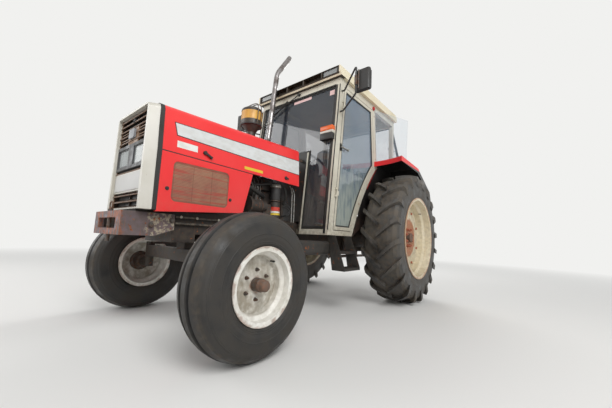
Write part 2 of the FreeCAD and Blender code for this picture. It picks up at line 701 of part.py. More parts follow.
def lug(sign, turned):
    """One lug of a tyre at x 0 and z 0 as a closed body of flat faces."""
    radius = number(size.rearTyreRadius)
    rings = []
    for across, lag, tip_half, root_half, tip_drop, root_drop in lug_sections:
        ring = []
        for half, drop in ((-root_half, root_drop), (root_half, root_drop),
                           (tip_half, tip_drop), (-tip_half, tip_drop)):
            out = radius - drop
            angle = turned - lag / radius + half / radius
            ring.append(point(sign * across * size.rearTyreHalf,
                              -out * math.sin(angle), out * math.cos(angle)))
        rings.append(ring)
    faces = [rings[0][:3], [rings[0][0], *rings[0][2:]], rings[-1][:3], [rings[-1][0], *rings[-1][2:]]]
    for near, far in zip(rings, rings[1:]):
        for first in range(4):
            after = (first + 1) % 4
            faces += [[near[first], near[after], far[after]], [near[first], far[after], far[first]]]
    shell = Part.makeShell([Part.Face(Part.makePolygon([*corners, corners[0]])) for corners in faces])
    body = Part.makeSolid(shell)
    if body.Volume < 0:
        body.reverse()
    return body


def rear_wheel(side, sign):
    middle = (sign * rearTrack, rearAxle, size.rearTyreRadius)
    radius = size.rearTyreRadius
    half = size.rearTyreHalf
    bead = size.rearBeadRadius + size.seat
    inner = size.rearRimHalf - 14
    lip = size.rearRimHalf - size.rimWall - size.seat
    over = size.rearFlangeRadius + size.seat
    wall_points = [
        (inner - size.seat, bead), (lip, over), (half - 14, over + 24), (half - 8, over + 70),
        (half - 10, radius - 130), (half - 24, radius - 84), (half - 54, radius - size.lugHeight - 16),
        (half - 110, radius - size.lugHeight - 4), (0 * half, radius - size.lugHeight),
    ]
    section = wall_points + [(-along, out) for along, out in wall_points[-2::-1]]
    tyre = Piece(f"rear_tyre_{side}").turn("X", section, middle)
    pitch = 2 * math.pi / size.lugCount.value
    lugs = [lug(row, (step + (0.5 if row < 0 else 0)) * pitch)
            for row in (1, -1) for step in range(size.lugCount.value)]
    for made in lugs:
        made.translate(point(*middle))
    with_shapes(tyre, lugs)

    rim = Piece(f"rear_rim_{side}")
    width = size.rearRimHalf
    flange = size.rearFlangeRadius
    seat = size.rearBeadRadius
    well = size.rearWellRadius
    wall = size.rimWall
    disc = size.rearDiscFace
    outline = [
        (width, flange), (width - wall, flange), (inner, seat), (120, seat - 6), (96, well),
        (-60, well), (-110, seat - 6), (-inner, seat), (-width + wall, flange), (-width, flange),
        (-width + 5, seat - wall), (-106, seat - 6 - wall), (-60, well - wall),
        (disc - 44, well - wall), (disc - 26, well - 70), (disc - 12, 210), (disc - 12, 60),
        (disc, 60), (disc, 214), (disc - 12, well - 76), (disc - 26, well - wall),
        (100, well - wall), (124, seat - 6 - wall), (width - 5, seat - wall),
    ]
    rim.turn("X", [(sign * along, out) for along, out in outline], middle)

    hub = Piece(f"rear_hub_{side}")
    face = size.rearDiscFace - 12 - size.seat
    reach = rearTrack - trumpetEnd - size.runningGap
    profile = [
        (-reach - size.runningGap - size.shaftDepth, 0), (face + 44, 0), (face + 44, 50), (face, 56),
        (face, size.rearHubRadius), (face - 22, size.rearHubRadius), (face - 40, 80), (-reach, 72),
        (-reach, size.shaftRadius), (-reach - size.runningGap - size.shaftDepth, size.shaftRadius),
    ]
    hub.turn("X", [(sign * along, out) for along, out in profile], middle)


# Front axle, knuckles and tie rod


def front_axle():
    beam = Piece("front_axle_beam")
    kingpin = kingpinX
    inner = kingpin - size.kingpinBoss * 0.6
    beam.pad("Y", [rectangle(-inner, inner, size.axleBottom, size.axleTop)],
             frontAxle - size.axleHalf, frontAxle + size.axleHalf)
    for _, sign in sides:
        beam.pad("Z", [circle(sign * kingpin, frontAxle, size.kingpinBoss)],
                 size.axleBottom - 14, size.axleTop + 10)
    for _, sign in sides:
        beam.cut("Z", [circle(sign * kingpin, frontAxle, size.kingpinRadius + size.pinPlay)],
                 size.axleBottom - 20, size.axleTop + 20)
    beam.pad("Y", [rectangle(-size.pivotHalf, size.pivotHalf, size.axleTop, size.pivotZ + 38)],
             frontAxle - size.axleHalf + 6, frontAxle + size.axleHalf - 6)
    beam.cut("Y", [circle(0, size.pivotZ, size.pivotRadius + size.pinPlay)],
             frontAxle - size.axleHalf, frontAxle + size.axleHalf)


def knuckle(side, sign):
    part = Piece(f"knuckle_{side}")
    kingpin = sign * kingpinX
    low = size.axleBottom - 14 - 1
    high = size.axleTop + 10 + 1
    wheel_z = size.frontTyreRadius
    # the forging under the axle, which carries the spindle
    part.pad("Z", [circle(kingpin, frontAxle, size.kingpinBoss)], wheel_z - 34, low)
    part.pad("Z", [circle(kingpin, frontAxle, size.kingpinRadius)], low, high + size.armThick)
    hub_back = size.frontTrack + size.frontDiscFace - size.rimWall - size.seat - 84
    spindle_end = size.frontTrack + size.frontDiscFace + 44
    x_low, x_high = between(sign, kingpinX, spindle_end)
    part.pad("X", [circle(frontAxle, wheel_z, size.spindleRadius)], x_low, x_high)
    x_low, x_high = between(sign, kingpinX, hub_back - 8)
    part.pad("X", [circle(frontAxle, wheel_z, size.spindleRadius + 10)], x_low, x_high)
    # steering arm on top of the axle's end
    arm_end = frontAxle + size.armLength
    wide = size.armHalf
    part.pad("Z", [rectangle(kingpin - wide, kingpin + wide, frontAxle, arm_end)],
             high, high + size.armThick)
    part.pad("Z", [circle(kingpin, frontAxle, size.kingpinBoss)], high, high + size.armThick)
    part.pad("Z", [circle(kingpin, arm_end, wide)], high, high + size.armThick)
    part.pad("Z", [circle(kingpin, arm_end, 11)], high + size.armThick,
             high + size.armThick + size.tieRodLift + 22)


def tie_rod():
    part = Piece("tie_rod")
    high = size.axleTop + 11 + size.armThick
    arm_end = frontAxle + size.armLength
    middle = high + size.tieRodLift
    part.pad("X", [circle(arm_end, middle, size.tieRodRadius)],
             -kingpinX + 14, kingpinX - 14)
    for _, sign in sides:
        part.pad("Z", [circle(sign * kingpinX, arm_end, 24)], middle - 20, middle + 20)
    for _, sign in sides:
        part.cut("Z", [circle(sign * kingpinX, arm_end, 11 + size.pinPlay)],
                 middle - 40, middle + 40)


# Front support and weight frame


def front_support():
    part = Piece("front_support")
    half = size.supportHalf
    wide = size.pivotHalf + 5
    rear = frontAxle + size.supportRear
    front = frontAxle + size.frameRear + 2
    top = size.engineDeck - size.seat
    part.pad("Z", [rectangle(-half, half, front, frontAxle + size.engineSump - size.seat)],
             size.supportBottom + 60, top)
    part.pad("Z", [rectangle(-half, half, front, frontAxle - size.axleHalf)],
             size.supportBottom, size.supportBottom + 60)
    part.pad("Z", [rectangle(-half, half, frontAxle + size.axleHalf, rear)],
             size.supportBottom, size.supportBottom + 60)
    part.cut("Z", [rectangle(-wide, wide, frontAxle - size.axleHalf, frontAxle + size.axleHalf)],
             size.supportBottom, size.pivotZ + 44)
    part.pad("Y", [circle(0, size.pivotZ, size.pivotRadius)], frontAxle - size.axleHalf - 20,
             frontAxle + size.axleHalf + 20)
    # shelf under the grille surround
    part.pad("Z", [rectangle(-half, half, frontAxle + size.grilleFront + 14, front + 4)],
             size.grilleBottom - size.seat - 34, size.grilleBottom - size.seat)
    # two ribs along each side
    for _, sign in sides:
        low, high = between(sign, half, half + size.railProud)
        for rail_top in (size.frameTop - 6, size.frameTop - 50):
            part.pad("X", [rectangle(front + 6, frontAxle + size.engineSump - 10, rail_top - 16, rail_top)],
                     low, high)
    # rails that carry the radiator and the weight frame
    for _, sign in sides:
        low, high = between(sign, half - 40, half)
        part.pad("X", [rectangle(frontAxle + size.frameFront + size.framePlate + size.seat, front,
                                 size.frameTailBottom + 6, size.frameTop - 4)], low, high)


def weight_frame():
    part = Piece("front_weight_frame")
    front = frontAxle + size.frameFront
    back = front + size.framePlate
    half = size.frameHalf
    part.pad("Y", [rectangle(-half, half, size.frameBottom, size.frameTop)], front, back)
    part.cut("Y", [rounded(-size.frameSlotHalf, size.frameSlotHalf, size.frameSlotBottom,
                           size.frameSlotTop, 8)], front, back)
    side = [
        (back, size.frameBottom), (frontAxle + size.frameRise, size.frameBottom),
        (frontAxle + size.frameRear, size.frameTailBottom), (frontAxle + size.frameRear, size.frameTop),
        (back, size.frameTop),
    ]
    for _, sign in sides:
        low, high = between(sign, size.supportHalf + size.seat, half)
        part.pad("X", [side], low, high)
    part.cut("Z", [circle(size.towPinX, front + size.framePlate / 2, size.towPinRadius + 0.4)],
             size.frameBottom - 10, size.frameTop + 10)


def tow_pin():
    part = Piece("tow_pin")
    middle = frontAxle + size.frameFront + size.framePlate / 2
    part.pad("Z", [circle(size.towPinX, middle, size.towPinRadius)],
             size.frameBottom - 46, size.frameTop + size.seat)
    part.pad("Z", [circle(size.towPinX, middle, 15.5)], size.frameTop + size.seat, size.frameTop + 14)


# Engine, gearbox and rear axle


def engine():
    """The block with its head, and what is bolted to its left side, open to view."""
    part = Piece("engine_block")
    half = size.engineHalf
    top = size.hoodFrontTop - size.engineDrop
    head_top = size.hoodFrontTop - size.headDrop
    block_top = size.hoodFrontTop - size.blockDrop
    front = frontAxle + size.engineFront
    rear = rearAxle + size.engineRear
    sump = frontAxle + size.engineSump
    block_side = [
        (front, size.engineDeck), (sump, size.engineDeck), (sump, size.engineBottom),
        (rear, size.engineBottom), (rear, block_top), (front, block_top),
    ]
    part.pad("X", [block_side], -half, half)
    part.pad("Z", [rectangle(-size.headHalf, size.headHalf, front + 20, rear - 20)], block_top, head_top)
    part.pad("Y", [rounded(-size.rockerHalf, size.rockerHalf, head_top - 10, top, 34)],
             front + 60, rear - 60)
    # flange to the gearbox
    proud = size.flangeProud
    part.pad("Y", [rounded(-half - proud, half + proud, size.engineBottom, block_top, 60)],
             rear - size.flangeWide, rear)
    # manifold along the head
    part.pad("X", [rectangle(front + 120, rear - 140, block_top + 24, head_top - 26)],
             size.headHalf, size.headHalf + 44)
    # injection pump, its drive and its governor
    pump_x = half + size.pumpRadius - 8
    pump = [circle(pump_x, size.pumpZ, size.pumpRadius)]
    part.pad("Y", pump, rear + size.pumpY, rear + size.pumpY + size.pumpLong)
    part.pad("Y", [circle(pump_x, size.pumpZ, size.pumpRadius + 22)], rear + size.pumpY - 26, rear + size.pumpY)
    part.pad("Z", [circle(pump_x + 6, rear + size.pumpY + 70, 24)], size.pumpZ, size.pumpZ + 92)
    # starter under it
    part.pad("Y", [circle(half + 40, size.engineDeck - 60, 50)], rear - 250, rear - size.flangeWide)
    # fuel filter on its bracket, and the oil filter below
    for up, low, high, out in ((0, block_top - 76, block_top + 92, 46), (0, size.engineDeck + 28, block_top - 90, 48)):
        part.pad("Z", [circle(half + 62, rear + size.filterY, out)], low, high)
    part.pad("Z", [rectangle(half - 4, half + 70, rear + size.filterY - 30, rear + size.filterY + 30)],
             block_top - 90, block_top - 56)
    # grey box ahead of the filter
    part.pad("X", [rectangle(rear + size.filterY - 150, rear + size.filterY - 60,
                             size.engineDeck + 40, size.engineDeck + 150)], half - 4, half + 70)
    # fan pulley and belt drive at the front, alternator on the right
    part.pad("Y", [circle(0, block_top, 62)], front - 62, front)
    part.pad("Y", [circle(0, size.engineDeck + 90, 84)], front - 48, front)
    part.pad("Y", [circle(-half - 52, block_top + 20, 66)], front + 6, front + 150)
    part.pad("Y", [circle(-half - 52, block_top + 20, 36)], front - 44, front + 6)
    part.pad("X", [rectangle(front + 40, front + 110, block_top - 70, block_top - 30)], -half - 90, -half + 4)
    feed_x = number(pump_x)
    pump_z = number(size.pumpZ)
    pump_y = number(rear + size.pumpY)
    rail = number(head_top) - 14
    pipes = []
    for cylinder in range(4):
        y = pump_y + 36 + cylinder * 26
        goal = number(front) + 150 + cylinder * 190
        pipes.append(bent_bar([
            point(feed_x, y, pump_z + 40), point(feed_x + 6, y, rail - 40 - cylinder * 12),
            point(number(size.headHalf) + 20, goal, rail), point(number(size.headHalf) - 20, goal, rail)], 5, (22, 16)))
    with_shapes(part, pipes)


def radiator():
    part = Piece("radiator")
    half = size.radiatorHalf
    part.pad("Y", [rectangle(-half, half, size.engineDeck, size.hoodFrontTop - size.radiatorDrop)],
             frontAxle + size.radiatorFront, frontAxle + size.radiatorRear)


def gearbox():
    part = Piece("gearbox")
    half = size.gearboxHalf
    front = rearAxle + size.engineRear + size.seat
    rear = rearAxle + size.housingFront - size.seat
    part.pad("Y", [rounded(-half, half, size.gearboxBottom, gearboxTop, 50)], front, rear)
    proud = size.flangeProud
    for low, high in ((front, front + size.flangeWide), (rear - size.flangeWide, rear)):
        part.pad("Y", [rounded(-half - proud, half + proud, size.gearboxBottom - proud, gearboxTop, 60)],
                 low, high)


def rear_axle():
    part = Piece("rear_axle_housing")
    half = size.housingHalf
    part.pad("X", [rectangle(rearAxle + size.housingFront, rearAxle + size.housingRear,
                             size.housingBottom, size.housingTop)], -half, half)
    middle = size.rearTyreRadius
    for _, sign in sides:
        taper = [(sign * (half - 20), 0), (sign * (half - 20), size.trumpetRoot),
                 (sign * trumpetEnd, size.trumpetTip), (sign * trumpetEnd, 0)]
        part.turn("X", taper, (0, rearAxle, middle))
        low, high = between(sign, trumpetEnd - size.shaftDepth - 4, trumpetEnd)
        part.cut("X", [circle(rearAxle, middle, size.shaftRadius + size.pinPlay)], low, high)
        # pin of the lower link
        low, high = between(sign, half - 6, size.linkPivotX + 30)
        part.pad("X", [circle(rearAxle + size.linkPivotY, size.linkPivotZ, size.linkPin)], low, high)
    # hydraulic lift cover over the middle housing
    lift_top = size.rockshaftZ + 62
    cover = [
        (rearAxle - 200, size.housingTop - 4), (rearAxle + size.housingRear, size.housingTop - 4),
        (rearAxle + size.rockshaftY + 52, size.rockshaftZ - 50),
        (rearAxle + size.rockshaftY + 52, lift_top - 20), (rearAxle + size.rockshaftY + 20, lift_top),
        (rearAxle - 150, lift_top),
    ]
    part.pad("X", [cover], -size.housingHalf + 20, size.housingHalf - 20)
    part.cut("X", [circle(rearAxle + size.rockshaftY, size.rockshaftZ,
                          size.rockshaftRadius + size.pinPlay)], -half, half)
    # bracket for the top link
    bracket_y = rearAxle + size.housingRear
    for _, sign in sides:
        low, high = between(sign, 24, 38)
        part.pad("X", [rectangle(bracket_y - 4, bracket_y + 64, size.housingTop - 130, size.housingTop - 30)],
                 low, high)
    part.pad("X", [circle(bracket_y + 40, size.housingTop - 80, 12)], -39, 39)


# Hood, side panels and grille


def hood_section(front, inset):
    """The hood's outline across at its front or rear end, inset by a wall."""
    low = size.hoodFrontLow if front else size.hoodRearLow
    top = (size.hoodFrontTop if front else size.hoodRearTop) - inset
    half = size.hoodHalf - inset
    top_half = size.hoodTopHalf - inset
    corner = size.hoodCorner - inset
    low = low - inset
    return [
        (-half, low), (half, low), (top_half, top - corner, corner), (top_half - corner, top),
        (-top_half + corner, top, corner), (-top_half, top - corner),
    ]


def hood_hinge():
    """Two arms from the bulkhead with the hood's pins, and the ears that the hood turns on."""
    y = rearAxle + size.hoodHingeY
    z = hoodHingeZ
    wall = lean(z - 40) + 4 - size.seat
    arm = [(y - 14, z - 40), (wall, z - 40), (wall, z - 10), (y + 15, z - 10), (y + 10, z + 11), (y - 14, z + 11)]
    part = Piece("hood_hinge_arms")
    for _, sign in sides:
        low, high = between(sign, size.hoodArmX - 8, size.hoodArmX + 8)
        part.pad("X", [arm], low, high)
        low, high = between(sign, size.hoodArmX + 7, size.hoodArmX + 30)
        part.pad("X", [circle(y, z, size.hoodPinRadius)], low, high)


def hood():
    part = Piece("hood")
    front = frontAxle + size.hoodFront
    rear = rearAxle + size.hoodRear
    part.loft("Y", [(front, hood_section(True, 0)), (rear, hood_section(False, 0))])
    part.loft("Y", [(front, hood_section(True, size.sheetWall)),
                    (rear, hood_section(False, size.sheetWall))], "SubtractiveLoft")
    y = rearAxle + size.hoodHingeY
    z = hoodHingeZ
    for _, sign in sides:
        low, high = between(sign, size.hoodArmX + 14, size.hoodArmX + 24)
        part.pad("X", [rectangle(y - 13, y + 13, z - 4, size.hoodRearTop - 2)], low, high)
        part.pad("X", [circle(y, z, 14)], low, high)
        part.cut("X", [circle(y, z, size.hoodPinRadius + size.pinPlay)], low - 4, high + 4)


def seam(y):
    """Height of the hood's lower edge at a place measured from the front axle."""
    rear = size.hoodRear + size.wheelbase
    share = (y - size.hoodFront) / (rear - size.hoodFront)
    return size.hoodFrontLow + share * (size.hoodRearLow - size.hoodFrontLow)


def hood_top(y):
    """Height of the hood's top at a place measured from the front axle."""
    rear = size.hoodRear + size.wheelbase
    share = (y - size.hoodFront) / (rear - size.hoodFront)
    return size.hoodFrontTop + share * (size.hoodRearTop - size.hoodFrontTop)


def side_panels():
    """The fixed sheets under the hood, each with a grid behind its window."""
    drop = size.sealThick + size.seat
    front = size.hoodFront
    outline = [
        (frontAxle + front, size.panelBottomFront), (frontAxle + size.panelRearLow, size.panelBottomRear),
        (frontAxle + size.panelRearTop, seam(size.panelRearTop) - drop),
        (frontAxle + front, seam(front) - drop),
    ]
    fold = [
        (frontAxle + front, size.panelBottomFront), (frontAxle + size.panelRearLow, size.panelBottomRear),
        (frontAxle + size.panelRearLow, size.panelBottomRear + size.sheetWall),
        (frontAxle + front, size.panelBottomFront + size.sheetWall),
    ]
    strip = [
        (frontAxle + front, seam(front) - size.sealThick),
        (frontAxle + size.panelRearTop, seam(size.panelRearTop) - size.sealThick),
        (frontAxle + size.panelRearTop, seam(size.panelRearTop) - size.seat),
        (frontAxle + front, seam(front) - size.seat),
    ]
    low_y, high_y = frontAxle + size.gridFront, frontAxle + size.gridRear
    bottom, top = size.gridBottom, size.gridTop
    edge = size.gridEdge
    panels = Piece("side_panels")
    for _, sign in sides:
        low, high = between(sign, size.hoodHalf - size.sheetWall, size.hoodHalf)
        panels.pad("X", [outline, rounded(low_y, high_y, bottom, top, size.gridCorner)], low, high)
        low, high = between(sign, size.hoodHalf - size.foldWide, size.hoodHalf)
        panels.pad("X", [fold], low, high)
        low, high = between(sign, size.hoodHalf - size.sheetWall - size.gridThick,
                            size.hoodHalf - size.sheetWall)
        panels.pad("X", [rectangle(low_y - edge, high_y + edge, bottom - edge, top + edge)], low, high)
    seal = Piece("hood_seal")
    for _, sign in sides:
        low, high = between(sign, size.hoodHalf - size.sheetWall - 10, size.hoodHalf - 1)
        seal.pad("X", [strip], low, high)


def slats(part, low, high, bottom, top, face):
    """A block of sloping louvres between two side strips."""
    thick = size.louvreThick
    deep = size.louvreDeep
    strip = size.louvreStrip
    height = number(top - bottom)
    count = max(1, round(height / number(size.louvrePitch)))
    drop = number(deep) * 0.55
    pitch = (height - drop - number(thick)) / max(1, count - 1) if count > 1 else 0
    first = 0 if count > 1 else (height - drop - number(thick)) / 2
    for step in range(count):
        z = bottom + (first + step * pitch)
        slat = [
            (face + 2, z), (face + deep - 2, z + drop), (face + deep - 2, z + drop + thick),
            (face + 2, z + thick),
        ]
        part.pad("X", [slat], low + strip - 2, high - strip + 2)
    for edge in (low, high - strip):
        part.pad("Y", [rectangle(edge, edge + strip, bottom, top)], face, face + deep)


def grille():
    part = Piece("grille_surround")
    front = frontAxle + size.grilleFront
    rear = frontAxle + size.grilleRear
    bottom = size.grilleBottom
    top = size.grilleTop

    def section(top_half, low_half, height):
        return [
            (-low_half, bottom), (low_half, bottom), (top_half, height - 40, 40),
            (top_half - 40, height), (-top_half + 40, height, 40), (-top_half, height - 40),
        ]

    part.loft("Y", [(front, section(size.grilleTopHalf, size.grilleLowHalf, top)),
                    (rear, section(size.hoodTopHalf - 2, size.hoodHalf, size.hoodFrontTop - 2))])
    rim = size.grilleRim
    sill = bottom + size.grilleSill
    half = size.grilleTopHalf - rim
    part.cut("Y", [rectangle(-half, half, sill, top - rim)], front - 1, rear + 1)

    face = front + size.grilleDepth
    low, high = -half + size.seat, half - size.seat
    louvres = Piece("grille_louvres")
    badge_low = size.lampBarTop + 4
    badge_top = size.badgeTop
    spans = (
        (sill + size.seat, size.blankBottom - 4),
        (size.blankTop + 4, size.lampBarBottom - 4),
        (badge_top, top - rim - size.seat),
    )
    for span_bottom, span_top in spans:
        slats(louvres, low, high, span_bottom, span_top, face)
        louvres.pad("Y", [rectangle(-size.louvreStrip, size.louvreStrip, span_bottom, span_top)],
                    face + size.louvreDeep - 9, face + size.louvreDeep - 1)
    # a plain block in the middle carries the blank badge plate, with louvres on both sides
    badge = size.badgeHalf
    louvres.pad("Y", [rectangle(-badge, badge, badge_low, badge_top + 3)], face - 2, face + size.louvreDeep + 2)
    for edge_low, edge_high in ((low, -badge + 2), (badge - 2, high)):
        slats(louvres, edge_low, edge_high, badge_low, badge_top + 1, face)

    part.pad("Y", [rectangle(-half - 4, half + 4, size.blankBottom - 4 + size.seat,
                             size.blankTop + 4 - size.seat)], face - 4, face + 16)

    bar = Piece("lamp_bar")
    bar.pad("Y", [rectangle(low, high, size.lampBarBottom - 4 + size.seat, size.lampBarTop + 4 - size.seat)],
            face - 6, face + 40)
    lamp_out = half - size.lampEdge
    for _, sign in sides:
        x_low, x_high = between(sign, size.lampInner, lamp_out)
        bar.cut("Y", [rectangle(x_low, x_high, size.lampBottom, size.lampTop)], face - 6, face + 30)
    lamps = Piece("headlamps")
    for _, sign in sides:
        x_low, x_high = between(sign, size.lampInner + size.seat, lamp_out - size.seat)
        lamps.pad("Y", [rounded(x_low, x_high, size.lampBottom + size.seat, size.lampTop - size.seat, 10)],
                  face + 6, face + 30 - size.seat)


# Exhaust and pre-cleaner


def exhaust():
    x = size.exhaustX
    foot = size.exhaustFoot
    bend = size.exhaustBend
    start = rearAxle + size.exhaustStart
    points = [
        point(-size.engineHalf - size.seat, start, foot), point(x, start, foot),
        point(x, lean(foot) - size.exhaustGap, foot), point(x, lean(bend) - size.exhaustGap, bend),
        point(x, lean(bend) - size.exhaustGap + size.exhaustTipBack, bend + size.exhaustTipRise),
    ]
    outside = bent_bar(points, number(size.exhaustRadius), (58, 72, number(size.exhaustCurve)))
    feature("exhaust_pipe", outside)


def pre_cleaner():
    part = Piece("pre_cleaner")
    y = rearAxle + size.cleanerY
    flange = size.cleanerNeck + 20
    foot = hood_top(size.cleanerY + size.wheelbase + flange) + size.seat
    low = hood_top(size.cleanerY + size.wheelbase) + size.cleanerStem
    top = low + size.cleanerBowl
    cap = top + size.cleanerCap
    outline = [
        (0 * low, foot), (flange, foot), (flange, foot + 14),
        (size.cleanerNeck, foot + 20), (size.cleanerNeck, low - 70), (size.cleanerRadius - 20, low - 8),
        (size.cleanerRadius, low), (size.cleanerRadius, top), (size.cleanerRadius - 4, top + 16),
        (size.cleanerRadius - 40, cap - 6), (0 * low, cap),
    ]
    part.turn("Z", outline, (0, y, 0))


# Cab


def lean(height):
    """How far back the front face of the cab lies at a height."""
    share = (height - size.cabBottom) / (size.cabTop - size.cabBottom)
    return rearAxle + size.pillarFoot + share * (size.pillarHead - size.pillarFoot)


def rear_lean(height):
    """Front edge of the rear door pillar at a height."""
    share = (height - size.rearPillarLow) / (size.cabTop - size.rearPillarLow)
    return rearAxle + size.rearPillarFoot + share * (size.rearPillarHead - size.rearPillarFoot)


def arch_rail(behind, rear_top):
    """The line of the wheel arch from the sill up to the rear door pillar, moved back."""
    return [
        (rearAxle + size.sillRear + behind, size.cabBottom, -size.archBend),
        (rearAxle + size.rearPillarFoot + size.rearPillarWide + behind, rear_top),
    ]


def cab_frame():
    part = Piece("cab_frame")
    half = size.cabHalf
    bottom = size.cabBottom
    top = size.cabTop
    wide = size.pillarWide
    rear = rearAxle + size.cabRear
    front_pillar = [
        (lean(bottom), bottom), (lean(bottom) + wide, bottom), (lean(top) + wide, top), (lean(top), top),
    ]
    sill = rectangle(lean(bottom) + 10, rearAxle + size.sillRear, bottom, sillTop)
    arch = [
        (rearAxle + size.sillRear - size.archWide, bottom), *arch_rail(0, size.rearPillarLow),
        (rearAxle + size.rearPillarFoot + size.doorGap, size.rearPillarLow, size.archBend),
    ]
    back = rear_lean(top)
    rear_pillar = [
        (rearAxle + size.rearPillarFoot + size.doorGap, size.rearPillarLow - 4),
        (rearAxle + size.rearPillarFoot + size.rearPillarWide, size.rearPillarLow - 4),
        (back + size.rearPillarWide, top), (back + size.doorGap, top),
    ]
    header = rectangle(lean(top), rear, headerBottom, top)
    waist = rectangle(rearAxle + size.rearPillarFoot + 30, rear, size.rearPillarLow,
                      size.rearPillarLow + 70)
    corner = rectangle(rear - 60, rear, size.rearPillarLow, top)
    for _, sign in sides:
        low, high = between(sign, half - size.cabTube, half)
        for outline in (front_pillar, sill, arch, rear_pillar, header, waist, corner):
            part.pad("X", [outline], low, high)
    inner = half - 10
    front_header = [
        (lean(headerBottom), headerBottom), (lean(headerBottom) + 60, headerBottom),
        (lean(top) + 60, top), (lean(top), top),
    ]
    part.pad("X", [front_header], -inner, inner)
    foot = [
        (lean(bottom), bottom), (lean(bottom) + 60, bottom), (lean(bottom) + 60, sillTop + 6),
        (lean(sillTop + 6), sillTop + 6),
    ]
    # posts beside the hood, from the foot rails up to the front glass
    post = [
        (lean(bottom), bottom), (lean(bottom) + 40, bottom), (lean(firewallTop) + 40, firewallTop),
        (lean(firewallTop), firewallTop),
    ]
    low_z, high_z = size.markerBottom, size.markerTop
    marker = [
        (lean(low_z) - size.markerDeep, low_z), (lean(low_z) + 2, low_z), (lean(high_z) + 2, high_z),
        (lean(high_z) - size.markerDeep, high_z),
    ]
    for _, sign in sides:
        low, high = between(sign, size.gearboxHalf + 12, inner)
        part.pad("X", [foot], low, high)
        low, high = between(sign, size.firewallHalf - 2 * size.postHalf, size.firewallHalf)
        part.pad("X", [post], low, high)
        low, high = between(sign, size.markerIn, size.markerOut)
        part.pad("X", [marker], low, high)
    part.pad("X", [rectangle(rear - 50, rear, headerBottom, top)], -inner, inner)
    part.pad("X", [rectangle(rear - 50, rear, size.rearPillarLow, size.rearPillarLow + 70)], -inner, inner)
    with_shapes(part, fixed_hinges(1) + fixed_hinges(-1) + wiper())


def wiper():
    """The wiper's spindle, its arm at rest and its blade."""
    high = size.cabTop - size.wiperDrop
    low = size.cabTop - size.wiperFall
    out = FreeCAD.Vector(0, -number(size.wiperOut), 0)
    root = point(size.wiperX, lean(high) + 2, high)
    elbow = point(size.wiperX, lean(high), high) + out
    tip = point(size.wiperRest, lean(low), low) + out
    middle = elbow + (tip - elbow) * 0.72
    blade_top = point(number(size.wiperRest) * 0.3, lean(low + 190), low + 190) + out * 0.5
    blade_end = point(number(size.wiperRest) * 1.02, lean(low - 60), low - 60) + out * 0.5
    return [rod(root, elbow + out * 0.4, 15), rod(elbow, middle, 5), rod(blade_top, blade_end, 7),
            rod(middle, blade_top + (blade_end - blade_top) * 0.5, 5)]


def hinge_frame(sign, height):
    """The place of a door hinge: its own z runs up the pillar and its own x out of the cab."""
    place = point(sign * (size.cabHalf + size.hingeOut),
                  lean(height) + size.pillarWide + size.doorGap / 2, height)
    rise = number(size.cabTop - size.cabBottom)
    back = number(size.pillarHead - size.pillarFoot)
    return FreeCAD.Placement(place, FreeCAD.Rotation(FreeCAD.Vector(0, 0, 1),
                                                     FreeCAD.Vector(0, back, rise)))


def block(sign, out, along, up):
    """A box given by its spans out of the cab, along the tractor and up."""
    low, high = between(sign, *out)
    box = Part.makeBox(number(high - low), along[1] - along[0], up[1] - up[0])
    box.translate(FreeCAD.Vector(number(low), along[0], up[0]))
    return box


def fixed_hinges(sign):
    """Pins and lugs on the cab's front pillar."""
    pin = number(size.hingePin)
    out = number(size.hingeOut)
    shapes = []
    for height in (size.hingeLow, size.cabTop - size.hingeDrop):
        local = [Part.makeCylinder(pin, 92, FreeCAD.Vector(0, 0, -46))]
        for low in (-46, 28):
            local.append(Part.makeCylinder(9, 18, FreeCAD.Vector(0, 0, low)))
            local.append(block(sign, (-out - 1, 4), (-26, 0), (low, low + 18)))
        whole = join(local)
        whole.Placement = hinge_frame(sign, height)
        shapes.append(whole)
    return shapes


def moving_hinges(sign):
    """Barrels and straps on the door."""
    pin = number(size.hingePin + size.pinPlay)
    out = number(size.hingeOut)
    shapes = []
    for height in (size.hingeLow, size.cabTop - size.hingeDrop):
        barrel = Part.makeCylinder(9, 52, FreeCAD.Vector(0, 0, -26))
        strap = block(sign, (-out - 1, -out + 5), (0, 46), (-22, 22))
        web = block(sign, (-out + 1, 2), (0, 12), (-22, 22))
        bore = Part.makeCylinder(pin, 80, FreeCAD.Vector(0, 0, -40))
        whole = join([barrel, strap, web]).cut(bore)
        whole.Placement = hinge_frame(sign, height)
        shapes.append(whole)
    return shapes


def with_shapes(part, shapes):
    """A body joined with further shapes, in a sub-part that takes the body's label."""
    doc.recompute()
    nodes.remove(part.body)
    part.body.Label = f"{part.label}_body"
    return feature(part.label, join([part.body.Shape] + shapes))


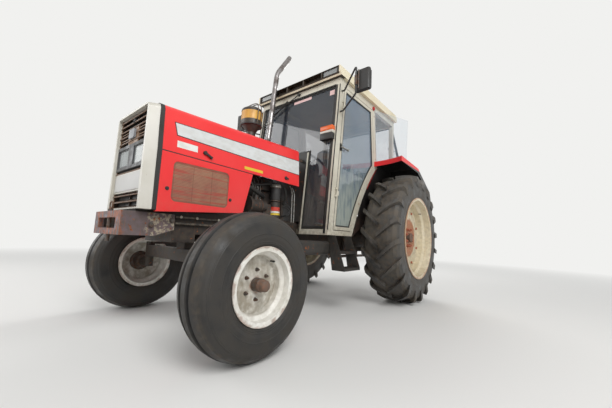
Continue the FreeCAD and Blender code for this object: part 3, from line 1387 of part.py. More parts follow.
def bulkhead():
    """The wall between the hood and the cab, and the floor with its raised rear part."""
    part = Piece("bulkhead")
    low = gearboxTop + size.seat
    top = firewallTop
    half = size.firewallHalf - 2 * size.postHalf - size.seat
    outline = [(lean(low) + 4, low), (lean(low) + 40, low), (lean(top) + 40, top), (lean(top) + 4, top)]
    part.pad("X", [outline], -half, half)

    floor = Piece("cab_floor")
    half = size.cabHalf - size.cabTube - size.seat
    front = lean(size.floorTop) + 64
    under = size.floorTop - size.floorThick
    raised = size.floorTop + size.floorRise
    step = rearAxle + size.floorStep
    back = rearAxle + size.cabRear
    deck = [
        (front, under), (front, size.floorTop), (step, size.floorTop), (step + size.floorRun, raised),
        (back - 60, raised), (back - 60, raised - size.floorThick),
        (step + size.floorRun + 18, raised - size.floorThick), (step + 18, under),
    ]
    floor.pad("X", [deck], -half, half)
    floor.pad("X", [rectangle(back - 60, back - 50, raised - size.floorThick,
                              size.rearPillarLow - size.seat)], -half, half)
    # side walls over the axle, inside the fenders
    wall = [
        (step + 18, under), *arch_rail(8, size.rearPillarLow - size.seat)[1:],
        (back - 50, size.rearPillarLow - size.seat), (back - 50, raised - size.floorThick),
        (step + size.floorRun + 18, raised - size.floorThick),
    ]
    for _, sign in sides:
        x_low, x_high = between(sign, half - size.sheetSide, half)
        floor.pad("X", [wall], x_low, x_high)


def glazing():
    glass = size.glassThick
    screen = Piece("windscreen")
    low = sillTop + size.glassStep
    top = headerBottom - size.seat
    half = size.cabHalf - size.cabTube - size.seat
    pane = [(lean(low) + 16, low), (lean(low) + 16 + glass, low), (lean(top) + 16 + glass, top),
            (lean(top) + 16, top)]
    screen.pad("X", [pane], -half, half)
    middle = size.firewallHalf + size.seat
    screen.cut("Y", [rectangle(-middle, middle, low - 10, firewallTop + size.seat)],
               lean(low) - 20, lean(top) + 60)

    # the rear window stands open on hinges along its top edge
    rear = rearAxle + size.cabRear
    lap = size.paneLap
    bottom = size.rearPillarLow + 70
    hinge = point(0, rear + size.seat, headerBottom + lap)
    wide = number(half + lap)
    high = number(headerBottom + lap - (bottom - lap))
    pane = Part.makeBox(2 * wide, number(glass), high, FreeCAD.Vector(-wide, 0, -high))
    pane.Placement = FreeCAD.Placement(
        hinge, FreeCAD.Rotation(FreeCAD.Vector(1, 0, 0), number(size.hatchAngle)))
    feature("rear_window", Part.makeCompound([pane]))

    # the quarter windows stand open on hinges along their front edge
    foot_z = bottom - size.ventLap
    foot = point(size.cabHalf + size.seat, rear_lean(foot_z) + size.rearPillarWide - lap, foot_z)
    head = point(size.cabHalf + size.seat, rear_lean(headerBottom + lap) + size.rearPillarWide - lap,
                 headerBottom + lap)
    back_y = number(rear - 60 + lap)
    corners = [foot, FreeCAD.Vector(foot.x, back_y, foot.z), FreeCAD.Vector(foot.x, back_y, head.z), head]
    panes = []
    for _, sign in sides:
        pane = Part.Face(Part.makePolygon([*corners, corners[0]])).extrude(
            FreeCAD.Vector(number(glass), 0, 0))
        pane.rotate(foot, head - foot, -number(size.ventAngle))
        panes.append(pane if sign > 0 else pane.mirror(FreeCAD.Vector(), FreeCAD.Vector(1, 0, 0)))
    feature("quarter_windows", Part.makeCompound(panes))


def door_outline(gap):
    """The door's outline, taken in by a gap from the cab's opening."""
    low = sillTop + gap
    top = headerBottom - gap
    wide = size.pillarWide
    corner = rearAxle + size.sillRear - size.archWide + size.archSlope * (size.sillHeight + gap) - gap * 1.1
    return [
        (lean(low) + wide + gap, low), (corner, low, -size.archBend),
        (rearAxle + size.rearPillarFoot + size.doorGap - gap * 1.1, size.rearPillarLow + gap * 0.1),
        (rear_lean(top) + size.doorGap - gap, top), (lean(top) + wide + gap, top),
    ]


def doors():
    outer = door_outline(size.doorGap)
    inner = door_outline(size.doorGap + size.doorRail)
    for side, sign in sides:
        low, high = between(sign, size.cabHalf - size.doorThick, size.cabHalf)
        frame = Piece(f"door_frame_{side}").pad("X", [outer, inner], low, high)
        with_shapes(frame, moving_hinges(sign))
        middle = size.cabHalf - size.doorThick / 2
        low, high = between(sign, middle, middle + size.glassThick)
        pane = door_outline(size.doorGap + size.doorRail + size.seat)
        Piece(f"door_glass_{side}").pad("X", [pane], low, high)


def roof():
    part = Piece("roof")
    half = size.cabHalf + size.roofSide
    front = rearAxle + size.roofFront
    rear = rearAxle + size.roofRear
    long = size.roofRear - size.roofFront
    low = size.cabTop + size.seat
    top = size.cabTop + size.roofThick
    bevel = size.roofBevel
    profile = [
        (front + 24, low), (rear, low), (rear, top - 66), (rear - 60, top - 30), (rear - long * 0.26, top - 6),
        (front + long * 0.2, top), (front + 40, top - 4), (front, top - 30), (front, low + 30),
    ]
    part.pad("X", [profile], -half, half)
    for _, sign in sides:
        edge = [(sign * (half - bevel), top + 1), (sign * (half + 1), top + 1), (sign * (half + 1), top - bevel)]
        part.cut("Y", [edge], front - 1, rear + 1)
    part.cut("Z", [rectangle(-half + 60, half - 60, front + size.visorDeep + 24, rear - 90)], low, top - 60)
    # the recess in the front is divided by upright bars, with a work lamp at each end
    lip = size.visorLip
    bar = size.visorBar
    lamp_out = half - 36
    lamp_in = lamp_out - size.workLampWide - 6
    middle = lamp_in - bar
    spans = ((-middle / 3 + bar / 2, middle / 3 - bar / 2), (middle / 3 + bar / 2, middle),
             (-middle, -middle / 3 - bar / 2), (lamp_in, lamp_out), (-lamp_out, -lamp_in))
    bottom = low + lip + 8
    for span_low, span_high in spans:
        part.cut("Y", [rectangle(span_low, span_high, bottom, top - lip - 14)], front - 1,
                 front + size.visorDeep)
    for _, sign in sides:
        x_low, x_high = between(sign, lamp_in + 4, lamp_out - 4)
        part.pad("Y", [rounded(x_low, x_high, bottom + 3, top - lip - 17, 10)], front + 16,
                 front + size.visorDeep + 1)


def door_sweep(across):
    """How far forward a fender may reach at a place out from the cab, clear of the opening door."""
    hinge_x = number(size.cabHalf + size.hingeOut)
    hinge_y = number(lean(size.rearPillarLow) + size.pillarWide + size.doorGap / 2)
    reach = number(rearAxle + size.rearPillarFoot + size.doorClear) - hinge_y
    return hinge_y + math.sqrt(reach ** 2 - (number(across) - hinge_x) ** 2)


def fenders():
    wall = size.fenderWall
    lip_high = size.fenderLip
    top = size.rearTyreRadius * 2 + size.fenderRise
    front = rearAxle + size.fenderFront
    ridge_y, ridge_z = rearAxle + size.fenderRidge, top - size.fenderDip
    back_y, back_z = rearAxle + size.fenderBackY, size.fenderBackZ
    end_y, foot = rearAxle + size.rearTyreRadius + size.fenderClear, size.fenderFoot
    inner = size.cabHalf + size.seat
    outer = rearTrack + size.fenderCover
    over = [(front, top), (ridge_y, ridge_z), (back_y, back_z), (end_y, foot)]
    shell = over + [
        (end_y - wall, foot), (back_y - wall, back_z - 2), (ridge_y - 1, ridge_z - wall), (front, top - wall),
    ]
    lip = over + [
        (end_y - lip_high, foot), (back_y - lip_high, back_z - lip_high * 0.4),
        (ridge_y - 16, ridge_z - lip_high), (front, top - lip_high),
    ]
    # inner wall between the tyre and the cab
    side_wall = [
        *arch_rail(12, size.rearPillarLow), (front + 100, top - wall), (ridge_y - 1, ridge_z - wall),
        (back_y - wall, back_z - 2), (end_y - wall, foot), (rearAxle + 240, foot - 60),
        (rearAxle - 240, foot - 60),
    ]
    for side, sign in sides:
        part = Piece(f"fender_{side}")
        low, high = between(sign, inner, outer)
        part.pad("X", [shell], low, high)
        low, high = between(sign, inner, inner + wall)
        part.pad("X", [side_wall], low, high)
        low, high = between(sign, outer - wall, outer)
        part.pad("X", [lip], low, high)
        # the front edge is curved to clear the door, with a lip turned down along it
        steps = [inner - 1 + (outer + 2 - inner) * (step / 6) for step in range(7)]
        edge = [(sign * across, door_sweep(across)) for across in steps]
        ahead = [(across, front - 40) for across, _ in reversed(edge)]
        part.cut("Z", [edge + ahead], size.rearPillarLow - 4, top + 1)
        steps = [inner + (outer - inner) * (step / 6) for step in range(7)]
        edge = [(sign * across, door_sweep(across)) for across in steps]
        behind = [(across, along + number(wall)) for across, along in reversed(edge)]
        part.pad("Z", [edge + behind], top - lip_high, top)


# Inside the cab


def interior():
    chair = Piece("driver_seat")
    y = rearAxle + size.chairY
    half = size.chairHalf
    base = size.floorTop + size.floorRise + size.seat
    top = size.floorTop + size.chairHeight
    cushion = size.cushionHigh
    chair.pad("Z", [rectangle(-half * 0.7, half * 0.7, y - half * 0.7, y + half * 0.7)], base, top - cushion)
    chair.pad("Z", [rectangle(-half, half, y - half, y + half)], top - cushion, top)
    rest = size.backrestHigh
    back = [(y + half - 80, top), (y + half, top), (y + half + 90, top + rest), (y + half + 20, top + rest)]
    chair.pad("X", [back], -half, half)

    dash = Piece("dashboard")
    low = size.floorTop + size.seat
    high = size.floorTop + size.dashHeight
    face = lean(size.floorTop) + size.dashRear
    profile = [
        (lean(low) + size.dashFront + 30, low), (face - 120, low), (face - 60, low + size.dashHeight / 2),
        (face, high - 90), (face - 20, high), (lean(high) + size.dashFront, high),
    ]
    dash.pad("X", [profile], -size.firewallHalf + 20, size.firewallHalf - 20)

    column = point(0, rearAxle + size.columnY, size.floorTop + size.columnRise)
    centre = point(0, rearAxle + size.wheelY, size.floorTop + size.wheelRise)
    axis = (centre - column).normalize()
    hub_down = number(size.wheelHub)
    wheel = [Part.makeTorus(number(size.wheelRadius), number(size.wheelRimRadius), centre, axis)]
    wheel.append(rod(centre - axis * hub_down, centre + axis * 14, 34))
    across = FreeCAD.Vector(1, 0, 0)
    down = axis.cross(across)
    for angle in (90, 210, 330):
        way = across * math.cos(math.radians(angle)) + down * math.sin(math.radians(angle))
        wheel.append(rod(centre, centre + way * number(size.wheelRadius), 9))
    feature("steering_wheel", join(wheel))
    with_shapes(dash, [rod(column, centre - axis * (hub_down + number(size.seat)), 22)])


# Mirrors, steps and tank


def mirrors():
    middle = rearAxle + size.mirrorY
    inside = size.cabHalf + size.mirrorGap
    top = size.cabTop - size.mirrorDrop
    low = top - size.mirrorHigh
    for side, sign in sides:
        part = Piece(f"mirror_{side}")
        x_low, x_high = between(sign, inside, inside + size.mirrorWide)
        part.pad("Z", [rounded(x_low, x_high, middle - size.mirrorThick / 2, middle + size.mirrorThick / 2, 20)],
                 low, top)
        stem_x = sign * (inside + 26)
        root_x = sign * (size.cabHalf + size.seat)
        stub_x = root_x + sign * size.armStub
        front = number(middle - size.mirrorThick / 2 - size.armRadius + 2)
        upper_root = number(lean(top - 60)) + 40
        lower_root = number(lean(low - 60)) + 40
        bar = [
            point(root_x, upper_root, top - 60), point(stub_x, upper_root, top - 60),
            point(stem_x, front, top + 50), point(stem_x, front, low - 30),
            point(stub_x, lower_root, low - 90), point(root_x, lower_root, low - 90),
        ]
        with_shapes(part, [bent_bar(bar, number(size.armRadius), (16, 24, 24, 16))])


def steps_and_tank():
    """Two treads on slanted hangers at each side, and the tank under the left side of the cab."""
    part = Piece("steps")
    front = rearAxle + size.stepFront
    rear = rearAxle + size.stepRear
    inner = size.cabHalf - size.stepInset
    outer = size.cabHalf + size.stepReach
    top = size.cabBottom - size.seat
    thick = size.treadThick
    tread = size.stepTread
    share = number(top - size.midTread) / number(top - tread)
    edge = inner + size.hangerWide + (outer - inner - size.hangerWide) * share
    hanger = [
        (inner, top), (inner + size.hangerWide, top), (outer, tread), (outer, tread - thick),
        (outer - size.stepWide, tread - thick),
    ]
    for _, sign in sides:
        low, high = between(sign, outer - size.stepWide, outer)
        part.pad("Z", [rectangle(low, high, front, rear)], tread - thick, tread)
        low, high = between(sign, edge - size.stepWide, edge)
        part.pad("Z", [rectangle(low, high, front, rear)], size.midTread - thick, size.midTread)
        plate = [(sign * across, up) for across, up in hanger]
        for y in (front, rear - 8):
            part.pad("Y", [plate], y, y + 8)
    tank = Piece("fuel_tank")
    low, high = size.gearboxHalf + size.flangeProud + size.seat, size.cabHalf - size.tankInset
    tank.pad("Y", [rounded(low, high, size.tankBottom, size.tankTop, 30)],
             rearAxle + size.tankFront, rearAxle + size.tankRear)


# Rear linkage, drawbar and power take-off


def rear_linkage():
    pivot_y = rearAxle + size.linkPivotY
    end_y = rearAxle + size.linkEndY
    share = size.rodFootShare
    for side, sign in sides:
        start = point(sign * size.linkPivotX, pivot_y, size.linkPivotZ)
        end = point(sign * size.linkEndX, end_y, size.linkEndZ)
        run = end - start
        half_thick = number(size.linkThick) / 2
        across = FreeCAD.Vector(1, 0, 0)
        eye = number(size.linkEye)
        bar = Part.makeBox(2 * half_thick, run.Length, 56)
        turn = FreeCAD.Rotation(FreeCAD.Vector(0, 1, 0), run)
        bar.Placement = FreeCAD.Placement(start, turn).multiply(
            FreeCAD.Placement(FreeCAD.Vector(-half_thick, 0, -28), FreeCAD.Rotation()))
        front_eye = rod(start - across * 22, start + across * 22, 32)
        rear_eye = rod(end - across * eye, end + across * eye, 38)
        foot = start + run * number(share)
        boss_long = number(size.rodOffset - size.rodEye - size.seat)
        boss = rod(foot, foot + across * (sign * boss_long), 15)
        shape = join([bar, front_eye, rear_eye, boss])
        pin_hole = rod(start - across * 60, start + across * 60, size.linkPin + size.pinPlay)
        ball_hole = rod(end - across * 60, end + across * 60, size.linkBore)
        feature(f"lower_link_{side}", shape.cut(pin_hole).cut(ball_hole))

    # rockshaft with its two lift arms
    shaft = point(0, rearAxle + size.rockshaftY, size.rockshaftZ)
    reach = across * (number(size.liftArmX) + 24)
    arms = [rod(shaft - reach, shaft + reach, size.rockshaftRadius)]
    for _, sign in sides:
        root = point(sign * size.liftArmX, rearAxle + size.rockshaftY, size.rockshaftZ)
        tip = point(sign * size.liftArmX, rearAxle + size.liftArmEndY, size.liftArmEndZ)
        run = tip - root
        bar = Part.makeBox(28, run.Length, 60)
        bar.Placement = FreeCAD.Placement(root, FreeCAD.Rotation(FreeCAD.Vector(0, 1, 0), run)).multiply(
            FreeCAD.Placement(FreeCAD.Vector(-14, 0, -30), FreeCAD.Rotation()))
        arms += [bar, rod(tip - across * 14, tip + across * 14, 32),
                 rod(root - across * 20, root + across * 20, 46),
                 rod(tip, tip + across * (sign * 52), size.liftPin)]
    feature("lift_arms", join(arms))

    for side, sign in sides:
        top = point(sign * (size.liftArmX + 30), rearAxle + size.liftArmEndY, size.liftArmEndZ)
        foot_x = size.linkPivotX + share * (size.linkEndX - size.linkPivotX)
        foot = point(sign * (foot_x + size.rodOffset), pivot_y + share * (end_y - pivot_y),
                     size.linkPivotZ + share * (size.linkEndZ - size.linkPivotZ))
        eye = across * number(size.rodEye)
        eyes = [rod(top - across * 14, top + across * 14, 26), rod(foot - eye, foot + eye, 26)]
        bore = rod(top - across * 40, top + across * 40, size.liftPin + size.pinPlay)
        feature(f"lift_rod_{side}", join([rod(top, foot, 13)] + eyes).cut(bore))

    drawbar = Piece("drawbar")
    rear = rearAxle + size.drawbarRear
    front = rearAxle + size.housingFront + 30
    drawbar.pad("Z", [[(-40, front), (40, front), (40, rear - 40, 40), (0, rear, 40), (-40, rear - 40)]],
                size.drawbarZ - 16, size.drawbarZ + 16)
    drawbar.cut("Z", [circle(0, rear - 44, size.drawbarHole)], size.drawbarZ - 40, size.drawbarZ + 40)
    for hanger in (front, rearAxle + size.housingRear - 90):
        drawbar.pad("Z", [rectangle(-90, 90, hanger, hanger + 60)], size.drawbarZ + 16,
                    size.housingBottom - size.seat)

    pto = Piece("pto_shaft")
    pto.pad("Y", [circle(0, size.ptoZ, size.ptoRadius)], rearAxle + size.housingRear + size.seat, rearAxle + size.ptoRear)


for side, sign in sides:
    front_wheel(side, sign)
    rear_wheel(side, sign)
    knuckle(side, sign)
front_axle()
tie_rod()
front_support()
weight_frame()
tow_pin()
engine()
radiator()
gearbox()
rear_axle()
hood_hinge()
hood()
side_panels()
grille()
exhaust()
pre_cleaner()
cab_frame()
bulkhead()
glazing()
doors()
roof()
fenders()
interior()
mirrors()
steps_and_tank()
rear_linkage()


def write_parts():
    """Every object is sound before any file is written."""
    doc.recompute()
    failed = [made.Label for made in doc.Objects if {"Invalid", "Error"} & set(made.State)]
    unsound = [node.Label for node in nodes if node.Shape.isNull() or not node.Shape.isValid()]
    if failed or unsound:
        raise RuntimeError(f"failed: {failed}, unsound: {unsound}")
    os.makedirs("parts", exist_ok=True)
    for node in nodes:
        node.Shape.exportStep(f"parts/{node.Label}.step")
        print(node.Label, len(node.Shape.Solids), round(node.Shape.Volume / 1e6, 3))


write_parts()
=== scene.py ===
import math
from functools import partial

import bmesh
import bpy
from mathutils import Matrix, Vector


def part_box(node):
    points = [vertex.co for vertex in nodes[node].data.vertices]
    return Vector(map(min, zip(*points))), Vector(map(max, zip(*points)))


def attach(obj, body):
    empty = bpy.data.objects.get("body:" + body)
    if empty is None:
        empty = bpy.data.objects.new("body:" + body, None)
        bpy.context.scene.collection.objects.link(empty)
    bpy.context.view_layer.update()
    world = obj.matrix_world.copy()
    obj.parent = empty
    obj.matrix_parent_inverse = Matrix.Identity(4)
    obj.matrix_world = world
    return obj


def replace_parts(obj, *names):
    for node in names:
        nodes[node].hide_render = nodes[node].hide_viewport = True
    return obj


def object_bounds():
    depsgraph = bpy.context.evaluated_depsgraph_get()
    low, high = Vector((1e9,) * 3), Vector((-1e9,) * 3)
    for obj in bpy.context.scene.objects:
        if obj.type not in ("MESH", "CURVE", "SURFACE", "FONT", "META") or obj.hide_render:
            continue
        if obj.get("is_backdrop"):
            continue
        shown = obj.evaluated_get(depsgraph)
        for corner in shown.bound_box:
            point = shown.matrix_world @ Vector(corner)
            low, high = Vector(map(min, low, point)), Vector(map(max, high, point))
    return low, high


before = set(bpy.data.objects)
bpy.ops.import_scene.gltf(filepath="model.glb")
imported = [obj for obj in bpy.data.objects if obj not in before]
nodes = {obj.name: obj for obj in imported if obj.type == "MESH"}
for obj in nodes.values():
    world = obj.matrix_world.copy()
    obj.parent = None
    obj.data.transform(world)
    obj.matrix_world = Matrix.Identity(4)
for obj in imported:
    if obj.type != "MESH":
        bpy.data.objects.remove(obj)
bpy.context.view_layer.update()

sides = [(name, name.lower(), sign, Vector((sign, 0, 0))) for name, sign in (("Left", 1), ("Right", -1))]
up, back, ahead = Vector((0, 0, 1)), Vector((0, 1, 0)), Vector((0, -1, 0))
print("frame loaded")

# where the axles are, read from the wheels (the tractor's front points to -Y, its left is +X)
frontAxle = sum(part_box("front_tyre_left"), Vector()) / 2
rearAxle = sum(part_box("rear_tyre_left"), Vector()) / 2
cabLean = 157 / 1684  # how far the cab's front leans back for its height
cabUp = Vector((0, cabLean, 1)).normalized()


def at(x, y, z):
    # a place or a move in metres
    return Vector((x, y, z))


def spot(x, y, z):
    # a place in millimetres, y counted back from the front axle
    return Vector((x / 1000, frontAxle.y + y / 1000, z / 1000))


def onCab(x, back, z):
    # a place on the leaning front of the cab, in millimetres, or so far behind it
    return spot(x, 1078 + (z - 750) * cabLean + back, z)


# colours and nodes

nodeKinds = {"share": ("MapRange", {}),  # 0 at its second value, 1 at its third
             "blend": ("Mix", {"data_type": "RGBA"}),
             "times": ("Math", {"operation": "MULTIPLY"}), "plus": ("Math", {"operation": "ADD"}),
             "less": ("Math", {"operation": "SUBTRACT"}), "most": ("Math", {"operation": "MAXIMUM"}),
             "absolute": ("Math", {"operation": "ABSOLUTE"}),
             "length": ("VectorMath", {"operation": "LENGTH"})}


def toLinear(hexColour):
    parts = [int(hexColour[i:i + 2], 16) / 255 for i in (1, 3, 5)]
    return [*[p / 12.92 if p <= 0.04045 else ((p + 0.055) / 1.055) ** 2.4 for p in parts], 1.0]


def addNode(tree, kind, *values, **named):
    # values go to the sockets in use in their order, named ones by name; the first output comes back
    kind, settings = nodeKinds.get(kind, (kind, {}))
    made = tree.nodes.new("ShaderNode" + kind)
    for name, value in settings.items():
        setattr(made, name, value)
    pairs = [*zip([socket for socket in made.inputs if socket.enabled], values),
             *[(made.inputs[name], value) for name, value in named.items()]]
    for socket, value in pairs:
        if isinstance(value, bpy.types.NodeSocket):
            tree.links.new(value, socket)
        else:
            socket.default_value = toLinear(value) if isinstance(value, str) else value
    return next(socket for socket in made.outputs if socket.enabled)


def startMaterial(name, **sockets):
    material = bpy.data.materials.new(name)
    material.use_nodes = True
    shader = material.node_tree.nodes["Principled BSDF"]
    for socket, value in sockets.items():
        shader.inputs[socket].default_value = value
    add = partial(addNode, material.node_tree)
    return material, add, shader, add("TexCoord").node.outputs["Object"]


def endMaterial(add, shader, colour, amount, smooth, rough, height, strength, deep):
    # rough where the amount is 1, and relief as deep in metres as given
    relief = add("Bump", Height=height, Strength=strength, Distance=deep)
    gloss = add("share", amount, 0, 1, smooth, rough)
    for socket, value in (("Base Color", colour), ("Roughness", gloss), ("Normal", relief)):
        shader.id_data.links.new(value, shader.inputs[socket])


def paintNodes(material, *names):
    # a name without its side stands for both sides
    for name in names:
        for node in (name, name + "_left", name + "_right"):
            if node in nodes:
                nodes[node].data.materials.clear()
                nodes[node].data.materials.append(material)


def noise(add, place, period, stretch=(1, 1, 1), detail=4.0, roughness=0.55):
    # blotches whose size is the period in metres
    spread = add("Mapping", place, Scale=[s / period for s in stretch])
    return add("TexNoise", spread, 1.0, detail, roughness)


def fromAxle(add, place, axle):
    # distance from a wheel's middle line
    return add("length", add("Mapping", place, (0, -axle.y, -axle.z), Scale=(0, 1, 1)))


# shapes

def barPlace(start, end, across):
    along = (end - start).normalized()
    side = (across - along * across.dot(along)).normalized()
    turn = Matrix((side, along.cross(side), along)).transposed().to_4x4()
    return Matrix.Translation((start + end) / 2) @ turn


def addBar(mesh, start, end, wide, deep, across=Vector((1, 0, 0)), edge=0.0):
    size = Matrix.Diagonal((wide, deep, (end - start).length, 1))
    made = bmesh.ops.create_cube(mesh, size=1, matrix=barPlace(start, end, across) @ size)["verts"]
    if edge:
        edges = list({e for vert in made for e in vert.link_edges})
        bmesh.ops.bevel(mesh, geom=edges, offset=edge, affect="EDGES", segments=2, profile=0.5,
                        material=-1)


def addBox(mesh, corner, opposite, edge=0.0):
    low, high = Vector(map(min, corner, opposite)), Vector(map(max, corner, opposite))
    middle = (low + high) / 2
    addBar(mesh, at(middle.x, middle.y, low.z), at(middle.x, middle.y, high.z),
           high.x - low.x, high.y - low.y, edge=edge)


def addPin(mesh, start, end, radius, sides=20):
    bmesh.ops.create_cone(mesh, cap_ends=True, segments=sides, radius1=radius, radius2=radius,
                          depth=(end - start).length, matrix=barPlace(start, end, at(0.31, 0.52, 0.79)))


def addTurned(mesh, middle, axis, profile, steps=20, closed=False):
    # profile: distances along the axis and out from it, in millimetres
    turn = axis.to_track_quat("Z", "Y").to_matrix()
    rail = [mesh.verts.new(middle + turn @ at(out / 1000, 0, along / 1000)) for along, out in profile]
    pairs = list(zip(rail, rail[1:])) + ([(rail[-1], rail[0])] if closed else [])
    edges = [mesh.edges.new(pair) for pair in pairs]
    bmesh.ops.spin(mesh, geom=rail + edges, cent=middle, axis=axis, angle=2 * math.pi, steps=steps,
                   use_merge=True)


def addSleeve(mesh, middle, axis, inner, outer, start, end, steps=40):
    profile = [(start, inner), (start, outer), (end, outer), (end, inner)]
    addTurned(mesh, middle, axis, profile, steps, closed=True)


def addRing(mesh, middle, axis, radius, thick, steps=40, sides=10):
    circle = [(thick * math.sin(2 * math.pi * i / sides), radius + thick * math.cos(2 * math.pi * i / sides))
              for i in range(sides)]
    addTurned(mesh, middle, axis, circle, steps, closed=True)


def addPlate(mesh, middle, facing, wide, high, thick, corner, up=up, rim=0.0, steps=24):
    # a plate with rounded corners whose back is at middle; with a rim it is only a frame that wide
    side = up.cross(facing).normalized()
    place = Matrix((side, facing.cross(side), facing)).transposed().to_4x4()
    place.translation = middle
    made = bmesh.ops.create_circle(mesh, cap_ends=True, segments=steps, radius=corner,
                                   matrix=Matrix.Rotation(math.pi / steps, 4, "Z"))["verts"]
    for vert in made:
        vert.co.x += math.copysign(wide / 2 - corner, vert.co.x)
        vert.co.y += math.copysign(high / 2 - corner, vert.co.y)
    bmesh.ops.transform(mesh, matrix=place, verts=made)
    faces = [made[0].link_faces[0]]
    if rim:
        band = bmesh.ops.inset_region(mesh, faces=faces, thickness=rim, use_even_offset=True,
                                      use_boundary=True)["faces"]
        bmesh.ops.delete(mesh, geom=faces, context="FACES_ONLY")
        faces = band
    grown = bmesh.ops.extrude_face_region(mesh, geom=faces)["geom"]
    bmesh.ops.translate(mesh, vec=facing * thick,
                        verts=[g for g in grown if isinstance(g, bmesh.types.BMVert)])


def addPipe(mesh, points, radius):
    route = bpy.data.curves.new("pipeRoute", "CURVE")
    route.dimensions = "3D"
    route.bevel_depth = radius
    route.bevel_resolution = 3
    route.use_fill_caps = True
    spline = route.splines.new("NURBS")
    spline.points.add(len(points) - 1)
    for point, place in zip(spline.points, points):
        point.co = (*place, 1)
    spline.order_u = 3
    spline.use_endpoint_u = True
    holder = bpy.data.objects.new("pipeRoute", route)
    mesh.from_mesh(bpy.data.meshes.new_from_object(holder))
    bpy.data.objects.remove(holder)


def copySkin(node, keeps):
    # the faces of a CAD node that a test keeps
    mesh = bmesh.new()
    mesh.from_mesh(nodes[node].data)
    bmesh.ops.remove_doubles(mesh, verts=mesh.verts, dist=0.00002)
    mesh.normal_update()
    bmesh.ops.delete(mesh, geom=[face for face in mesh.faces if not keeps(face)], context="FACES")
    return mesh


def trimTo(mesh, corners):
    # cuts a skin to an outline of places in millimetres, listed counter-clockwise seen from +X
    places = [spot(0, y, z) for y, z in corners]
    for here, there in zip(places, places[1:] + places[:1]):
        bmesh.ops.bisect_plane(mesh, geom=[*mesh.verts, *mesh.edges, *mesh.faces], plane_co=here,
                               plane_no=(there - here).cross(at(1, 0, 0)), clear_outer=True)


def thicken(mesh, lift, thick):
    # raises a skin off its node and gives it a closed wall
    mesh.normal_update()
    moves = [(vert, vert.normal * (lift + thick)) for vert in mesh.verts]
    for vert, move in moves:
        vert.co += move
    bmesh.ops.solidify(mesh, geom=mesh.faces[:], thickness=thick)


def rimOver(node, facing, wide, lift, thick):
    # a band along the edge of a flat CAD face, such as a window's seal
    mesh = copySkin(node, lambda face: face.normal.dot(facing) > 0.9)
    bmesh.ops.dissolve_limit(mesh, angle_limit=0.03, verts=mesh.verts, edges=mesh.edges)
    panes = mesh.faces[:]
    bmesh.ops.inset_region(mesh, faces=panes, thickness=wide, use_even_offset=True, use_boundary=True)
    bmesh.ops.delete(mesh, geom=panes, context="FACES")
    thicken(mesh, lift, thick)
    return mesh


def finishPiece(name, mesh, material, body="chassis", turnOut=True):
    if turnOut:
        bmesh.ops.remove_doubles(mesh, verts=mesh.verts, dist=0.00003)
        bmesh.ops.recalc_face_normals(mesh, faces=mesh.faces)
    data = bpy.data.meshes.new(name)
    mesh.to_mesh(data)
    mesh.free()
    data.polygons.foreach_set("use_smooth", [True] * len(data.polygons))
    data.set_sharp_from_angle(angle=math.radians(32))
    data.materials.append(material)
    piece = bpy.data.objects.new(name, data)
    bpy.context.scene.collection.objects.link(piece)
    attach(piece, body)
    return piece


# materials

# Enamel on sheet steel, sprayed and years outdoors: it gives a broad soft gloss, chalks in patches,
# gathers dust on top and mud splash low down, and lets rust through in spots and runs. A second coat
# may be laid over it by coats().
def enamel(name, look, coats=None):
    material, add, shader, place = startMaterial(name, IOR=1.5)
    axes = add("SeparateXYZ", place).node.outputs
    facing = add("SeparateXYZ", add("NewGeometry").node.outputs["Normal"]).node.outputs
    patches = noise(add, place, look["patch"])
    colour = add("blend", add("share", patches, 0.42, 0.68), look["paint"], look["chalk"])
    if coats:
        colour = coats(add, place, axes, facing, colour)
    # mud splash below a height in metres, broken up by finer blotches
    low = add("share", axes["Z"], look["splashTop"], look["splashTop"] - 0.45)
    broken = add("share", noise(add, place, 0.035, detail=6.0), 0.35, 0.7)
    splash = add("times", add("times", low, broken), look["splash"])
    top = add("times", add("share", facing["Z"], 0.6, 1.0), add("share", patches, 0.3, 0.7))
    dirt = add("most", splash, add("times", top, look["dust"]))
    colour = add("blend", dirt, colour, look["grime"])
    # rust spots of a few millimetres to a few centimetres, and thin runs below them
    spots = add("share", noise(add, place, look["spot"], detail=8.0, roughness=0.65),
                look["rustFrom"], look["rustFrom"] + 0.05)
    runs = add("share", noise(add, place, 0.02, (1, 1, 0.06), detail=5.0),
               look["runFrom"], look["runFrom"] + 0.09)
    rust = add("most", spots, add("times", runs, 0.55))
    rustColour = add("blend", add("share", noise(add, place, 0.012), 0.35, 0.65), "#6E3A1E", "#A65E2C")
    # sprayed paint ripples every 4 mm or so
    height = add("plus", noise(add, place, 0.004), add("times", rust, -1.5))
    endMaterial(add, shader, add("blend", rust, colour, rustColour), add("most", dirt, rust),
                look["gloss"], 0.85, height, 0.12, 0.0008)
    return material


nearBlack = "#1E1C1B"
hoodLook = {"paint": "#E92C2E", "chalk": "#EC3B3A", "grime": "#B07A62", "patch": 0.5, "splashTop": 1.05,
            "splash": 0.3, "dust": 0.18, "spot": 0.03, "rustFrom": 0.75, "runFrom": 0.75, "gloss": 0.28}
paintNodes(enamel("redAlkydEnamelOnSteel", hoodLook), "hood", "side_panels")


